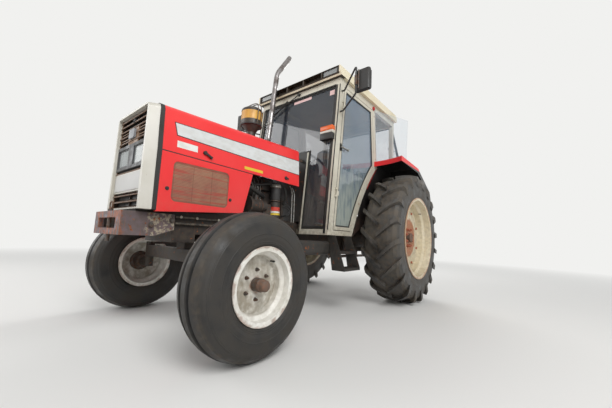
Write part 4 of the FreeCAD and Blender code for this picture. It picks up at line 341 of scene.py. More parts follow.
# the fenders are red on top, on the front slope and on the outer lip, and black elsewhere
def fenderCoats(add, place, axes, facing, colour):
    behind = add("times", add("share", axes["Z"], 1.0, 1.004),
                 add("share", axes["Y"], rearAxle.y + 0.4, rearAxle.y + 0.41))
    high = add("most", add("share", axes["Z"], 1.32, 1.324), behind)
    top = add("times", add("share", facing["Z"], 0.1, 0.2), high)
    lip = add("times", add("share", add("absolute", axes["X"]), 0.985, 0.987),
              add("share", axes["Z"], 1.638, 1.642))
    front = add("times", add("share", axes["Z"], 1.612, 1.616), add("share", facing["Z"], -0.3, -0.2))
    front = add("times", front, add("share", add("absolute", facing["X"]), 0.6, 0.5))
    return add("blend", add("most", add("most", top, lip), front), nearBlack, colour)


paintNodes(enamel("redAndBlackEnamelOnFenders", {**hoodLook, "dust": 0.3, "gloss": 0.36}, fenderCoats),
           "fender")

cabLook = {"paint": "#CBC6B6", "chalk": "#B9B3A2", "grime": "#857B69", "patch": 0.3, "splashTop": 1.15,
           "splash": 0.8, "dust": 0.45, "spot": 0.05, "rustFrom": 0.64, "runFrom": 0.65, "gloss": 0.42}


# the posts beside the hood are black towards the engine
def cabCoats(add, place, axes, facing, colour):
    inner = add("times", add("share", add("absolute", axes["X"]), 0.2492, 0.2478),
                add("share", axes["Y"], frontAxle.y + 1.29, frontAxle.y + 1.28))
    inner = add("times", inner, add("share", axes["Z"], 1.66, 1.65))
    return add("blend", inner, colour, nearBlack)


creamEnamel = enamel("creamAlkydEnamelOnSteel", cabLook, cabCoats)
paintNodes(creamEnamel, "cab_frame", "door_frame")

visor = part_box("roof")[0]


# the roof is gelcoat, whiter and smoother, and the recess in its front is bare dark plastic
def roofCoats(add, place, axes, facing, colour):
    front = add("share", axes["Y"], visor.y + 0.115, visor.y + 0.11)
    inside = add("times", add("share", axes["Z"], visor.z + 0.014, visor.z + 0.017),
                 add("share", axes["Z"], visor.z + 0.115, visor.z + 0.112))
    inside = add("times", inside, add("share", add("absolute", axes["X"]), 0.622, 0.619))
    dark = add("times", front, add("most", inside, add("share", facing["Z"], -0.7, -0.8)))
    return add("blend", dark, colour, "#33291F")


roofLook = {**cabLook, "paint": "#E2D8BE", "chalk": "#D6CBAC", "dust": 0.2, "rustFrom": 0.72,
            "runFrom": 0.76, "gloss": 0.5}
paintNodes(enamel("creamGelcoatOnRoof", roofLook, roofCoats), "roof")

surroundLook = {**cabLook, "paint": "#CBC8BF", "chalk": "#BFBBAF", "splashTop": 1.0, "splash": 0.45,
                "spot": 0.02, "rustFrom": 0.68, "runFrom": 0.72, "gloss": 0.36}
paintNodes(enamel("paleGreyEnamelOnSteel", surroundLook), "grille_surround")

tankLook = {**cabLook, "paint": "#1F1E1D", "chalk": "#2B2927", "grime": "#4A4339", "splash": 0.45,
            "dust": 0.25, "rustFrom": 0.62, "gloss": 0.5}
blackEnamel = enamel("blackEnamelOnSteel", tankLook)
paintNodes(blackEnamel, "fuel_tank", "steps", "bulkhead")


# wheel discs rust outwards from the hub and along the flange; earth and grease darken the disc inside the flange
# in blotches, and on the front wheels this darkening is also painted shade of the deep-set disc
def rimCoats(axle, hub, flange, amount, rusty, dirt):
    def coats(add, place, axes, facing, colour):
        out = fromAxle(add, place, axle)
        # painted shade and dirt: the disc inside the flange darkens in blotches, by the amount given as dirt
        discDirtAndShade = add("times", add("share", out, flange * 0.76, flange * 0.7),
                     add("share", noise(add, place, 0.07, detail=7.0), 0.3, 0.62))
        colour = add("blend", add("times", discDirtAndShade, dirt), colour, "#8A7F6C")
        ragged = add("plus", out, add("times", noise(add, place, 0.05, detail=7.0), 0.09))
        core = add("times", add("share", ragged, hub + 0.05, hub + 0.03), amount)
        ring = add("times", add("share", ragged, flange + 0.022, flange + 0.036), 0.55)
        rust = add("blend", add("share", noise(add, place, 0.02), 0.35, 0.65), rusty, "#8A4A26")
        return add("blend", add("most", core, ring), colour, rust)
    return coats


rimLook = {**cabLook, "paint": "#EBE9E2", "chalk": "#D5D1C6", "splashTop": 0.75, "splash": 0.35,
           "spot": 0.02, "rustFrom": 0.7, "runFrom": 0.72, "gloss": 0.42}
rearRimLook = {**rimLook, "paint": "#E2D9C2", "chalk": "#D2C4A4", "splashTop": 1.3}
# the front discs darken more, 0.8, partly as painted shade of the deep-set disc
frontRimEnamel = enamel("whiteEnamelOnFrontRims", rimLook,
                        rimCoats(frontAxle, 0.05, 0.236, 0.7, "#7C5440", 0.8))
rearRimEnamel = enamel("creamEnamelOnRearRims", rearRimLook,
                       rimCoats(rearAxle, 0.24, 0.48, 0.95, "#B86F3E", 0.35))
paintNodes(frontRimEnamel, "front_rim")
paintNodes(rearRimEnamel, "rear_rim")


# the weight frame is repainted in patches: blue-grey flakes in front, worn cream at the rear ends
def frameCoats(add, place, axes, facing, colour):
    flakes = add("share", noise(add, place, 0.04, detail=8.0), 0.52, 0.56)
    front = add("share", axes["Y"], frontAxle.y - 0.535, frontAxle.y - 0.545)
    colour = add("blend", add("times", flakes, front), colour, "#6C7382")
    ragged = add("plus", axes["Y"], add("times", noise(add, place, 0.06, detail=7.0), 0.12))
    rear = add("share", ragged, frontAxle.y - 0.345, frontAxle.y - 0.325)
    worn = add("times", add("share", noise(add, place, 0.02, detail=7.0), 0.5, 0.54), 0.8)
    colour = add("blend", add("times", rear, worn), colour, "#B9AE96")
    edge = add("share", ragged, frontAxle.y - 0.455, frontAxle.y - 0.475)
    streaks = add("share", noise(add, place, 0.03, (1, 1, 0.3), detail=7.0), 0.46, 0.56)
    return add("blend", add("times", add("times", edge, streaks), 0.8), colour, "#A9572B")


frameLook = {**cabLook, "paint": "#6B5D60", "chalk": "#54474A", "grime": "#574C42", "spot": 0.03,
             "rustFrom": 0.6, "runFrom": 0.6, "gloss": 0.5}
paintNodes(enamel("greyEnamelOnWeightFrame", frameLook, frameCoats), "front_weight_frame")
castLook = {**frameLook, "paint": "#2E2825", "chalk": "#231F1D", "grime": "#4E4337", "splashTop": 1.3,
            "splash": 0.7, "rustFrom": 0.62, "runFrom": 0.64}
paintNodes(enamel("darkEnamelOnCastIron", castLook), "front_support", "front_axle_beam", "knuckle",
           "engine_block", "gearbox", "rear_axle_housing")
print("enamels made")


# A plain finish: blotches of dust or rust over the paint, duller where they lie, with a fine grain.
plainLook = {"sockets": {"IOR": 1.5}, "patch": 0.12, "stretch": (1, 1, 1), "detail": 6.0,
             "reach": (0.35, 0.7), "dustShare": 1.0, "dull": 0.8, "grain": 0.004, "relief": (0.3, 0.0006)}


def plainFinish(name, look, coats=None, height=None):
    look = {**plainLook, **look}
    material, add, shader, place = startMaterial(name, **look["sockets"])
    patches = add("share", noise(add, place, look["patch"], look["stretch"], look["detail"]),
                  *look["reach"])
    colour = add("blend", add("times", patches, look["dustShare"]), look["paint"], look["dust"])
    if coats:
        colour = coats(add, place, patches, colour, look)
    grain = height(add, place, look) if height else noise(add, place, look["grain"])
    endMaterial(add, shader, colour, patches, look["gloss"], look["dull"], grain, *look["relief"])
    return material


# Bare metal: soft brown or grey patches over it, no clear edges.
def bareMetal(name, paint, dust, metal, patch, gloss):
    return plainFinish(name, {"sockets": {"Metallic": metal}, "paint": paint, "dust": dust, "patch": patch,
                              "gloss": gloss, "detail": 7.0, "reach": (0.38, 0.66), "grain": 0.003})


# Moulded rubber or plastic with carbon black: dull, with dust rubbed into it.
def rubber(name, paint, dust, dustShare, gloss, **look):
    return plainFinish(name, {"sockets": {"IOR": 1.52}, "paint": paint, "dust": dust, "dustShare": dustShare,
                              "gloss": gloss, "dull": 0.9, "grain": 0.005, "relief": (0.4, 0.0008), **look})


# Printed film on sheet metal: smooth and flat, with a little dust.
def film(name, paint, dust="#A39B8A"):
    return plainFinish(name, {"sockets": {"IOR": 1.46}, "paint": paint, "dust": dust, "dustShare": 0.35,
                              "patch": 0.08, "stretch": (1, 1, 2), "reach": (0.4, 0.75), "gloss": 0.3,
                              "dull": 0.6, "grain": 0.003, "relief": (0.08, 0.0004)})


rustySteel = bareMetal("oiledForgedSteel", "#5A5651", "#614433", 0.35, 0.03, 0.45)  # brown-grey
exhaustSteel = bareMetal("heatedChromedSteel", "#9C9A9A", "#6A625E", 0.95, 0.12, 0.16)  # bright, stained
galvanised = bareMetal("zincPlatedSteel", "#A5A6A4", "#8A8378", 0.8, 0.02, 0.35)  # soft pale gleam
castAluminium = bareMetal("castAluminium", "#B9B7B0", "#99958A", 0.6, 0.03, 0.42)  # light and grainy
reflectorSilver = bareMetal("aluminisedReflector", "#E8EAEB", "#D5D8DA", 1.0, 0.2, 0.12)  # a mirror
mirrorSilver = bareMetal("silveredMirrorGlass", "#C9CED1", "#B4B9BB", 1.0, 0.3, 0.04)  # a sharp mirror
rustedPlate = bareMetal("heavilyRustedSteel", "#62544B", "#7A5A48", 0.1, 0.02, 0.7)  # dry brown crust
primedNuts = bareMetal("primedAndRustedNuts", "#B4745C", "#8E4A34", 0.1, 0.02, 0.45)  # red primer
badgeMetal = bareMetal("satinBadgeMetal", "#8E9092", "#85868A", 0.4, 0.4, 0.5)  # even satin grey
paintNodes(rustySteel, "tow_pin", "tie_rod", "front_hub", "rear_hub", "lower_link", "lift_arms", "lift_rod",
           "drawbar", "pto_shaft", "hood_hinge_arms")
paintNodes(exhaustSteel, "exhaust_pipe")

sealRubber = rubber("blackRubberSeal", "#1B1B1B", "#45413A", 0.4, 0.5)  # matt black
blackPlastic = rubber("blackMouldedPlastic", "#232324", "#4B463E", 0.3, 0.38)  # black, slight shine
lampBarPlastic = rubber("greyMouldedPlastic", "#45474B", "#6B675F", 0.45, 0.4, patch=0.05)  # slate grey
seatVinyl = rubber("blackGrainedVinyl", "#2B2827", "#4D453E", 0.4, 0.4, patch=0.2, grain=0.0014)  # grained
paintNodes(sealRubber, "hood_seal")
paintNodes(blackPlastic, "cab_floor", "dashboard", "steering_wheel", "mirror", "radiator")
paintNodes(lampBarPlastic, "lamp_bar")

paleFilm = film("paleGreyStripeFilm", "#D6D8D7")
blackFilm = film("blackOutlineFilm", "#1C1B1C", "#4A4540")
whiteFilm = film("whiteLabelFilm", "#E6E6E0")
yellowFilm = film("yellowLabelFilm", "#E3C22A")
pinkFilm = film("fadedPinkLabelFilm", "#D9B7B4")


# Tyre rubber is black where it wears, greyer with dust on the walls (on the rear tyres the pale dust is also
# painted sunlit sheen), and earth-brown in its hollows.
def tyreCoats(axle):
    def coats(add, place, patches, colour, look):
        out = fromAxle(add, place, axle)
        hollow = add("times", add("share", out, look["wornFrom"], look["wornFrom"] - 0.02),
                     add("share", out, look["wallTop"], look["wallTop"] + 0.02))
        earth = add("times", hollow, add("share", noise(add, place, 0.04, detail=7.0), 0.4, 0.6))
        colour = add("blend", add("times", earth, 0.4), colour, look["earth"])
        if "grooves" in look:
            # painted shade: the grooves between the ribs are painted near black for the shade in them
            low, high = look["grooves"]
            across = add("absolute", add("less", add("absolute", add("SeparateXYZ", place)), axle.x))
            grooveShade = add("times", add("share", across, low, low + 0.003),
                         add("share", across, high, high - 0.003))
            grooveShade = add("times", grooveShade, add("share", out, 0.38, 0.4))
            colour = add("blend", grooveShade, colour, "#0F0E0E")
        return colour

    def height(add, place, look):
        # moulded rings 3 mm high near the bead and the shoulder
        out = fromAxle(add, place, axle)
        total = add("times", noise(add, place, 0.005), 0.3)
        for ring in look["rings"]:
            raised = add("times", add("share", out, ring - 0.004, ring - 0.002),
                         add("share", out, ring + 0.004, ring + 0.002))
            total = add("plus", total, raised)
        return total
    return coats, height


tyreLook = {"sockets": {"IOR": 1.52}, "gloss": 0.32, "dull": 0.88, "relief": (0.6, 0.003)}
frontTyreLook = {**tyreLook, "paint": "#1B1A19", "dust": "#4A443C", "dustShare": 0.5, "earth": "#6C5B45",
                 "grooves": (0.0205, 0.0495), "wornFrom": 0.422, "wallTop": 0.395,
                 "rings": (0.243, 0.252, 0.3, 0.37)}
# painted highlight: the rear tyres' dust is lighter and there is more of it, partly to paint the sunlit sheen of
# the walls
rearTyreLook = {**tyreLook, "paint": "#232221", "dust": "#68625A", "dustShare": 0.65, "earth": "#5E5140",
                "wornFrom": 0.755, "wallTop": 0.67, "rings": (0.505, 0.515, 0.56, 0.64)}
paintNodes(plainFinish("vulcanisedFrontTyreRubber", frontTyreLook, *tyreCoats(frontAxle)), "front_tyre")
paintNodes(plainFinish("vulcanisedRearTyreRubber", rearTyreLook, *tyreCoats(rearAxle)), "rear_tyre")

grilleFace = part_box("grille_louvres")[0].y


# louvres: dark brown plastic, bleached along the front edges
def louvrePlastic(name, look):
    def coats(add, place, patches, colour, look):
        axes = add("SeparateXYZ", place).node.outputs
        edge = add("share", axes["Y"], grilleFace + 0.009, grilleFace + 0.005)
        return add("blend", add("times", edge, 0.8), colour, look["edge"])
    return plainFinish(name, {**look, "patch": 0.04}, coats)


paintNodes(louvrePlastic("brownMouldedLouvres", {"paint": "#33241B", "dust": "#54402F", "dustShare": 0.5,
                                                 "edge": "#8A6A4E", "gloss": 0.45}), "grille_louvres")


# Float glass, faintly grey-blue, seen through with a film of dust. Both faces of a pane reflect, so
# its index stands for the two together.
def glass(name, tint, dust, alpha, filmShare, index=1.5, dustTop=None):
    material, add, shader, place = startMaterial(name, Roughness=0.02, IOR=index)
    cover = add("times", add("share", noise(add, place, 0.3, (1, 1, 0.4), detail=5.0), 0.35, 0.75), filmShare)
    if dustTop:
        # the lower panes are dull with dust and streaks
        low = add("share", add("SeparateXYZ", place).node.outputs["Z"], dustTop, dustTop - 0.7)
        streaks = add("share", noise(add, place, 0.05, (1, 1, 0.25), detail=7.0), 0.3, 0.7)
        cover = add("most", cover, add("times", low, add("plus", streaks, 0.5)))
    clear = add("share", cover, 0, 1, alpha, alpha + 0.25)
    for socket, value in (("Base Color", add("blend", cover, tint, dust)), ("Alpha", clear)):
        shader.id_data.links.new(value, shader.inputs[socket])
    return material


# painted reflection: the windscreen's dark blue tint stands partly for what the glass reflects
paintNodes(glass("screenGlassTintedForPaintedReflection", "#152638", "#5F5B58", 0.56, 0.25, 1.8, 1.75), "windscreen")
paintNodes(glass("dustyDoorGlass", "#5B7690", "#A9B1A9", 0.52, 0.35, 1.9, 1.75), "door_glass")
paintNodes(glass("clearSideGlass", "#A9BDCE", "#C3CACB", 0.12, 0.35), "quarter_windows", "rear_window")
lampGlass = glass("pressedLampGlass", "#D5DADB", "#B9BDB8", 0.35, 0.6)
paintNodes(lampGlass, "headlamps")
amberLens = glass("amberLensPlastic", "#E2601A", "#D77A3C", 0.92, 0.6)
clearLens = glass("clearLensPlastic", "#DAD6CB", "#B5AE9E", 0.85, 0.6)
redLens = glass("redLensPlastic", "#A81B1B", "#9E4A42", 0.92, 0.5)

bowlLow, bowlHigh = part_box("pre_cleaner")


# the pre-cleaner: a translucent mustard bowl between a dark cap and a dark cone
def cleanerCoats(add, place, patches, colour, look):
    axes = add("SeparateXYZ", place).node.outputs
    band = add("times", add("share", axes["Z"], bowlHigh.z - 0.146, bowlHigh.z - 0.14),
               add("share", axes["Z"], bowlHigh.z - 0.05, bowlHigh.z - 0.056))
    dark = add("blend", add("times", patches, 0.5), "#25221F", "#5A4D3D")
    return add("blend", band, dark, colour)


cleanerLook = {"paint": "#D9A94E", "dust": "#B98B45", "patch": 0.04, "stretch": (1, 1, 0.4), "gloss": 0.3,
               "dull": 0.6, "relief": (0.2, 0.0005)}
paintNodes(plainFinish("amberAndBlackBowlPlastic", cleanerLook, cleanerCoats), "pre_cleaner")
print("other materials made")


# hood and side panels

def cornersOf(y, z, wide, high):
    return [(y + h * wide / 2, z + v * high / 2) for h, v in ((-1, 1), (-1, -1), (1, -1), (1, 1))]


# the stripe over its black edge and two blank plates, stuck on the hood: the corners in millimetres,
# and in metres how far off the hood and how thick
stripeLook = {
    "hoodStripeEdge": (((-315, 1450), (-294, 1358), (962, 1336), (962, 1488)), 0.0002, 0.0004, blackFilm),
    "hoodStripe": (((-308, 1445), (-289, 1364), (962, 1342), (962, 1482)), 0.0006, 0.0004, paleFilm),
    "hoodPlate": (cornersOf(-215, 1302, 148, 46), 0.0003, 0.0005, whiteFilm),
    "hoodLabel": (cornersOf(376, 1265, 200, 24), 0.0003, 0.0005, yellowFilm)}
for name, side, sign, out in sides:
    for piece, (corners, lift, thick, material) in stripeLook.items():
        skin = copySkin("hood", lambda face: face.normal.x * sign > 0.9
                        and face.calc_center_median().x * sign > 0)
        trimTo(skin, corners)
        thicken(skin, lift, thick)
        finishPiece(piece + name, skin, material, "hood", turnOut=False)

# rubber handles that hold the hood down, and the bolts of the side panels
latchLook = {"front": (318, -84, 1291), "frontEnd": (325, -34, 1264), "rear": (320, 768, 1271),
             "bolts": ((322, -329, 992), (322, 157, 978))}
for name, side, sign, out in sides:
    mesh = bmesh.new()
    knob, tail, rear = [spot(sign * x, y, z) for x, y, z in
                        (latchLook["front"], latchLook["frontEnd"], latchLook["rear"])]
    addTurned(mesh, knob, out, [(0, 0), (0, 15), (12, 15), (16, 12), (18, 0)])
    addBar(mesh, knob + out * 0.01, tail + out * 0.008, 0.012, 0.016, out, edge=0.004)
    grip = at(0, 0.006, 0.008)
    addBar(mesh, tail + grip + out * 0.006, tail - grip + out * 0.006, 0.012, 0.012, out, edge=0.003)
    addTurned(mesh, rear, out, [(0, 0), (0, 17), (8, 17), (13, 11), (14, 0)])
    addBar(mesh, rear + out * 0.01, rear + out * 0.01 + at(0, 0.03, -0.004), 0.01, 0.014, out, edge=0.003)
    finishPiece("hoodHandles" + name, mesh, sealRubber, "hood")
    mesh = bmesh.new()
    for x, y, z in latchLook["bolts"]:
        head = spot(sign * x, y, z)
        addTurned(mesh, head, out, [(0, 0), (0, 13), (2, 13), (2.5, 0)])
        addPin(mesh, head + out * 0.002, head + out * 0.009, 0.009, sides=6)
    finishPiece("panelBolts" + name, mesh, blackPlastic)


# rust brown where the grids' paint has gone, with red left in level streaks
def gridSteel(name, paint, dust, red):
    def coats(add, place, patches, colour, look):
        streaks = add("share", noise(add, place, 0.012, (1, 0.05, 1)), 0.5, 0.62)
        return add("blend", add("times", streaks, 0.75), colour, red)
    return plainFinish(name, {"paint": paint, "dust": dust, "patch": 0.1, "detail": 5.0, "gloss": 0.55,
                              "reach": (0.35, 0.65), "grain": 0.003, "relief": (0.4, 0.0008)}, coats)


# the grids behind the side panels' windows: a plate, close bars across and a few uprights, in
# millimetres; the left side's uprights stand a little prouder
gridLook = {"front": -300, "rear": 136, "bottom": 912, "top": 1183, "plate": 317.6, "rows": 27, "posts": 3,
            "bar": 1.5, "proud": 1.9, "postProud": {1: 2.3, -1: 1.9}, "rim": 0.009}
gridRust = gridSteel("rustedGridSteel", "#7A5040", "#8C6852", "#963F36")
gridBack = gridSteel("rustedGridPlate", "#95604E", "#A67B62", "#B4463B")
front, rear, bottom, top, plate = [gridLook[key] for key in ("front", "rear", "bottom", "top", "plate")]
for name, side, sign, out in sides:
    mesh = bmesh.new()
    addBox(mesh, spot(sign * plate, front - 4, bottom - 4), spot(sign * (plate + 0.9), rear + 4, top + 4))
    finishPiece("gridBacking" + name, mesh, gridBack)
    mesh = bmesh.new()
    inner, outer = sign * (plate + 0.5), sign * (plate + gridLook["proud"])
    for row in range(gridLook["rows"]):
        z = bottom + (row + 0.5) * (top - bottom) / gridLook["rows"]
        addBox(mesh, spot(inner, front + 2, z - gridLook["bar"]), spot(outer, rear - 2, z + gridLook["bar"]))
    outer = sign * (plate + gridLook["postProud"][sign])
    for post in range(1, gridLook["posts"]):
        y = front + post * (rear - front) / gridLook["posts"]
        addBox(mesh, spot(inner, y - 1.5, bottom + 2), spot(outer, y + 1.5, top - 2))
    addPlate(mesh, spot(sign * 318, (front + rear) / 2, (bottom + top) / 2), out, (rear - front) / 1000 - 0.004,
             (top - bottom) / 1000 - 0.004, 0.0022, 0.032, rim=gridLook["rim"])
    finishPiece("gridBars" + name, mesh, gridRust)

# thick rubber strip between the grille surround and the hood, open at the bottom
stripLook = {"front": -408, "wide": 0.025, "thick": 0.014,
             "outline": [(324, 846), (324, 1240), (304, 1515), (290, 1545), (258, 1559)]}
mesh = bmesh.new()
outline = stripLook["outline"] + [(-x, z) for x, z in reversed(stripLook["outline"])]
rail = [mesh.verts.new(spot(x, stripLook["front"], z)) for x, z in outline]
edges = [mesh.edges.new(pair) for pair in zip(rail, rail[1:])]
grown = bmesh.ops.extrude_edge_only(mesh, edges=edges)["geom"]
bmesh.ops.translate(mesh, vec=back * stripLook["wide"],
                    verts=[g for g in grown if isinstance(g, bmesh.types.BMVert)])
bmesh.ops.recalc_face_normals(mesh, faces=mesh.faces)
middle = spot(0, -400, 1200)
if sum((face.calc_center_median() - middle).dot(face.normal) for face in mesh.faces) < 0:
    bmesh.ops.reverse_faces(mesh, faces=mesh.faces)
bmesh.ops.solidify(mesh, geom=mesh.faces[:], thickness=stripLook["thick"])
finishPiece("surroundStrip", mesh, sealRubber, turnOut=False)
print("hood and side panels dressed")


# grille and headlamps: the middle of the left lamp in millimetres, its width and height in metres
lampLook = {"middle": (143, -445, 1223.5), "size": (0.2014, 0.1304), "deep": 0.022, "ribs": 22}
wide, high = lampLook["size"]
bowls, lenses, frames = bmesh.new(), bmesh.new(), bmesh.new()
for name, side, sign, out in sides:
    x, y, z = lampLook["middle"]
    middle = spot(sign * x, y, z)
    # the reflector: a grid pressed back into a bowl, with a bulb's holder in it
    place = Matrix.Translation(middle) @ Matrix.Rotation(math.pi / 2, 4, "X") @ Matrix.Diagonal(
        (wide, high, 1, 1))
    made = bmesh.ops.create_grid(bowls, x_segments=20, y_segments=14, size=0.5, matrix=place)["verts"]
    for vert in made:
        away = math.hypot((vert.co.x - middle.x) / (wide / 2), (vert.co.z - middle.z) / (high / 2))
        vert.co.y += lampLook["deep"] * math.cos(min(1.0, away / 1.42) * math.pi / 2) ** 0.8
    addTurned(bowls, middle + back * 0.018, ahead, [(0, 0), (0, 16), (6, 14), (11, 8), (12, 0)])
    # the lens, with upright flutes moulded on its back and a bead round its edge
    addPlate(lenses, middle + back * 0.002, ahead, wide - 0.004, high - 0.004, 0.004, 0.012)
    for rib in range(1, lampLook["ribs"]):
        flute = middle + at(sign * (rib / lampLook["ribs"] - 0.5) * wide, 0.003, 0)
        addPin(lenses, flute - up * (high / 2 - 0.008), flute + up * (high / 2 - 0.008), 0.0028, sides=8)
    addPlate(frames, middle + back * 0.0005, ahead, wide - 0.001, high - 0.001, 0.006, 0.012, rim=0.006)
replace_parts(finishPiece("lampBowls", bowls, reflectorSilver), "headlamps")
finishPiece("lampLenses", lenses, lampGlass)
finishPiece("lampFrames", frames, lampBarPlastic)

# a black sheet behind the louvres, and their bleached front lips
lipLook = {"half": 257.2, "front": -456.5, "back": -449, "high": 9, "sheet": -420,
           "heights": (858.3, 902.4, 946.6, 1110.8, 1339, 1385, 1430, 1468.7, 1507.3),
           "finish": {"paint": "#5A4435", "dust": "#735A46", "dustShare": 0.6, "edge": "#6C5341",
                      "gloss": 0.55}}
mesh = bmesh.new()
for low, high in ((850, 966), (1314, 1538)):
    addBox(mesh, spot(-258, lipLook["sheet"], low), spot(258, lipLook["sheet"] + 2, high))
finishPiece("grilleBacking", mesh, blackPlastic)
mesh = bmesh.new()
for z in lipLook["heights"]:
    addBox(mesh, spot(-lipLook["half"], lipLook["front"], z - lipLook["high"] / 2),
           spot(lipLook["half"], lipLook["back"], z + lipLook["high"] / 2), edge=0.002)
finishPiece("louvreLips", mesh, louvrePlastic("bleachedLouvreLips", lipLook["finish"]))

# the blank badge plate, the round lock over it, and the blank panel between the lamps and the louvres
badgeLook = {"middle": (0, -452, 1381), "size": (0.092, 0.066, 0.015, 0.008)}
mesh = bmesh.new()
addPlate(mesh, spot(*badgeLook["middle"]), ahead, *badgeLook["size"])
finishPiece("badgePlate", mesh, badgeMetal)
lockLook = {"middle": (0, -448, 1478), "shape": [(0, 0), (0, 17), (10, 17), (13, 13), (10, 9), (10, 0)]}
mesh = bmesh.new()
addTurned(mesh, spot(*lockLook["middle"]), ahead, lockLook["shape"], 24)
addBox(mesh, spot(-2, -464, 1470), spot(2, -460, 1486))
finishPiece("hoodLock", mesh, blackPlastic)
panelLook = {"middle": (0, -454, 1038), "size": (0.48, 0.116, 0.005, 0.01),
             "finish": {**surroundLook, "paint": "#B2B1AE", "chalk": "#A9A7A2", "splash": 0.25}}
mesh = bmesh.new()
addPlate(mesh, spot(*panelLook["middle"]), ahead, *panelLook["size"])
finishPiece("blankPanel", mesh, enamel("whiteEnamelOnBlankPanel", panelLook["finish"]))
print("grille dressed")


# weight frame: its side bolts, and the ring of the tow pin
weightLook = {"bolts": ((247, -374, 752), (247, -242, 790)), "pin": (0, -532, 845), "ring": (24, 4.2)}
mesh = bmesh.new()
for name, side, sign, out in sides:
    for x, y, z in weightLook["bolts"]:
        head = spot(sign * x, y, z)
        addTurned(mesh, head, out, [(0, 0), (0, 19), (3, 19), (3.5, 0)])
        addPin(mesh, head + out * 0.003, head + out * 0.016, 0.015, sides=6)
finishPiece("frameBolts", mesh, rustySteel)
mesh = bmesh.new()
pinTop = spot(*weightLook["pin"])
addRing(mesh, pinTop + up * 0.026, back, *weightLook["ring"])
addPin(mesh, pinTop - up * 0.004, pinTop + up * 0.012, 0.010)
finishPiece("towPinRing", mesh, rustedPlate)
# beige rails bolted along the front support
railLook = {"inner": 239, "outer": 243, "tops": (825, 781), "bolts": (-180, -60, 120)}
mesh = bmesh.new()
for sign in (1, -1):
    for top in railLook["tops"]:
        addBox(mesh, spot(sign * railLook["inner"], -214, top - 15),
               spot(sign * railLook["outer"], 178, top - 1), edge=0.001)
    for y in railLook["bolts"]:
        addPin(mesh, spot(sign * 238, y, 818), spot(sign * 252, y, 818), 0.010, sides=6)
finishPiece("supportRails", mesh, creamEnamel)
print("front end dressed")


# wheels, in millimetres: bead and edge give a radius and how far out from the wheel's middle
wheelLook = {
    "front": {"disc": 36, "nuts": 6, "nutCircle": 86, "nutAcross": 9, "valve": (168, 40), "bead": (169, 14),
              "edge": (222, 119), "nutMetal": rustySteel, "paint": frontRimEnamel},
    "rear": {"disc": 48, "nuts": 8, "nutCircle": 104, "nutAcross": 18, "valve": (400, 100),
             "bead": (419, 26), "edge": (476, 196), "nutMetal": primedNuts, "paint": rearRimEnamel}}
hubCaps = {"front": [(0, 34), (4, 37), (12, 37), (14, 34), (40, 33), (46, 30), (51, 22), (52, 0), (50, 0), (0, 0)],
           "rear": [(0, 52), (3, 56), (9, 56), (12, 52), (14, 30), (8, 24), (8, 0), (0, 0)]}
clampLook = {"count": 8, "circle": 330}  # they hold the rear disc to the rim
for end, look in wheelLook.items():
    for name, side, sign, out in sides:
        middle = sum(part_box(f"{end}_rim_{side}"), Vector()) / 2
        body = f"{end}_wheel_{side}"

        def onDisc(radius, turned, proud):
            return middle + at(sign * proud / 1000, radius / 1000 * math.cos(turned),
                               radius / 1000 * math.sin(turned))

        mesh = bmesh.new()
        size = look["nutAcross"]
        for nut in range(look["nuts"]):
            base = onDisc(look["nutCircle"], 2 * math.pi * (nut + 0.5) / look["nuts"], look["disc"] - 1)
            addTurned(mesh, base, out, [(0, 0), (0, size * 1.35), (3, size * 1.3), (3, 0)], 16)
            addPin(mesh, base, base + out * size * 0.0018, size / 1000, sides=6)
            addPin(mesh, base, base + out * size * 0.0026, size * 0.0006, sides=12)
        for clamp in range(clampLook["count"] if end == "rear" else 0):
            turned = 2 * math.pi * (clamp + 0.5) / clampLook["count"]
            base = onDisc(clampLook["circle"], turned, look["disc"] - 4)
            addPin(mesh, base, base + out * 0.022, 0.015, sides=6)
        finishPiece(f"{end}WheelNuts{name}", mesh, look["nutMetal"], body)

        mesh = bmesh.new()
        if end == "front":
            cap = at(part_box(f"front_hub_{side}")[1 if sign > 0 else 0].x, middle.y, middle.z)
            addTurned(mesh, cap - out * 0.05, out, hubCaps[end], 32)
            addRing(mesh, cap - out * 0.052, out, 36, 3)
        else:
            addTurned(mesh, middle + out * 0.09, out, hubCaps[end], 32)
        finishPiece(f"{end}HubCap{name}", mesh, rustedPlate, body)
        mesh = bmesh.new()
        root = onDisc(look["valve"][0], 0.9, look["valve"][1])
        addPin(mesh, root, root + out * 0.034, 0.0042, sides=12)
        addPin(mesh, root + out * 0.022, root + out * 0.036, 0.0056, sides=12)
        finishPiece(f"{end}Valve{name}", mesh, sealRubber, body)

        # welded bead where the disc meets the rim, and the flange's rolled edge
        mesh = bmesh.new()
        radius, reach = look["bead"]
        addRing(mesh, middle + out * reach / 1000, out, radius, 5.5, 64, 8)
        finishPiece(f"{end}WeldBead{name}", mesh, rustedPlate, body)
        mesh = bmesh.new()
        radius, reach = look["edge"]
        for way in (1, -1):
            addRing(mesh, middle + out * way * reach / 1000, out, radius, 5, 96, 8)
        finishPiece(f"{end}RolledEdge{name}", mesh, look["paint"], body)

# caps over the kingpins
kingpinLook = {"x": 640, "cap": [(0, 0), (0, 22), (5, 22), (10, 12), (12, 4), (22, 3), (22, 0)]}
for name, side, sign, out in sides:
    mesh = bmesh.new()
    kingpin = spot(sign * kingpinLook["x"], 0, 1000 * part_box(f"knuckle_{side}")[1].z)
    addTurned(mesh, kingpin - up * 0.004, up, kingpinLook["cap"])
    finishPiece("kingpinCap" + name, mesh, rustySteel, f"knuckle_{side}")
print("wheels dressed")


# cab

sealLook = {"screen": 0.022, "door": 0.013, "wall": (0.0002, 0.006)}
seal = rimOver("windscreen", at(0, -1, 0.05).normalized(), sealLook["screen"], *sealLook["wall"])
finishPiece("windscreenSeal", seal, sealRubber, turnOut=False)
for name, side, sign, out in sides:
    seal = rimOver(f"door_glass_{side}", out, sealLook["door"], *sealLook["wall"])
    finishPiece("doorGlassSeal" + name, seal, sealRubber, f"door_{side}", turnOut=False)

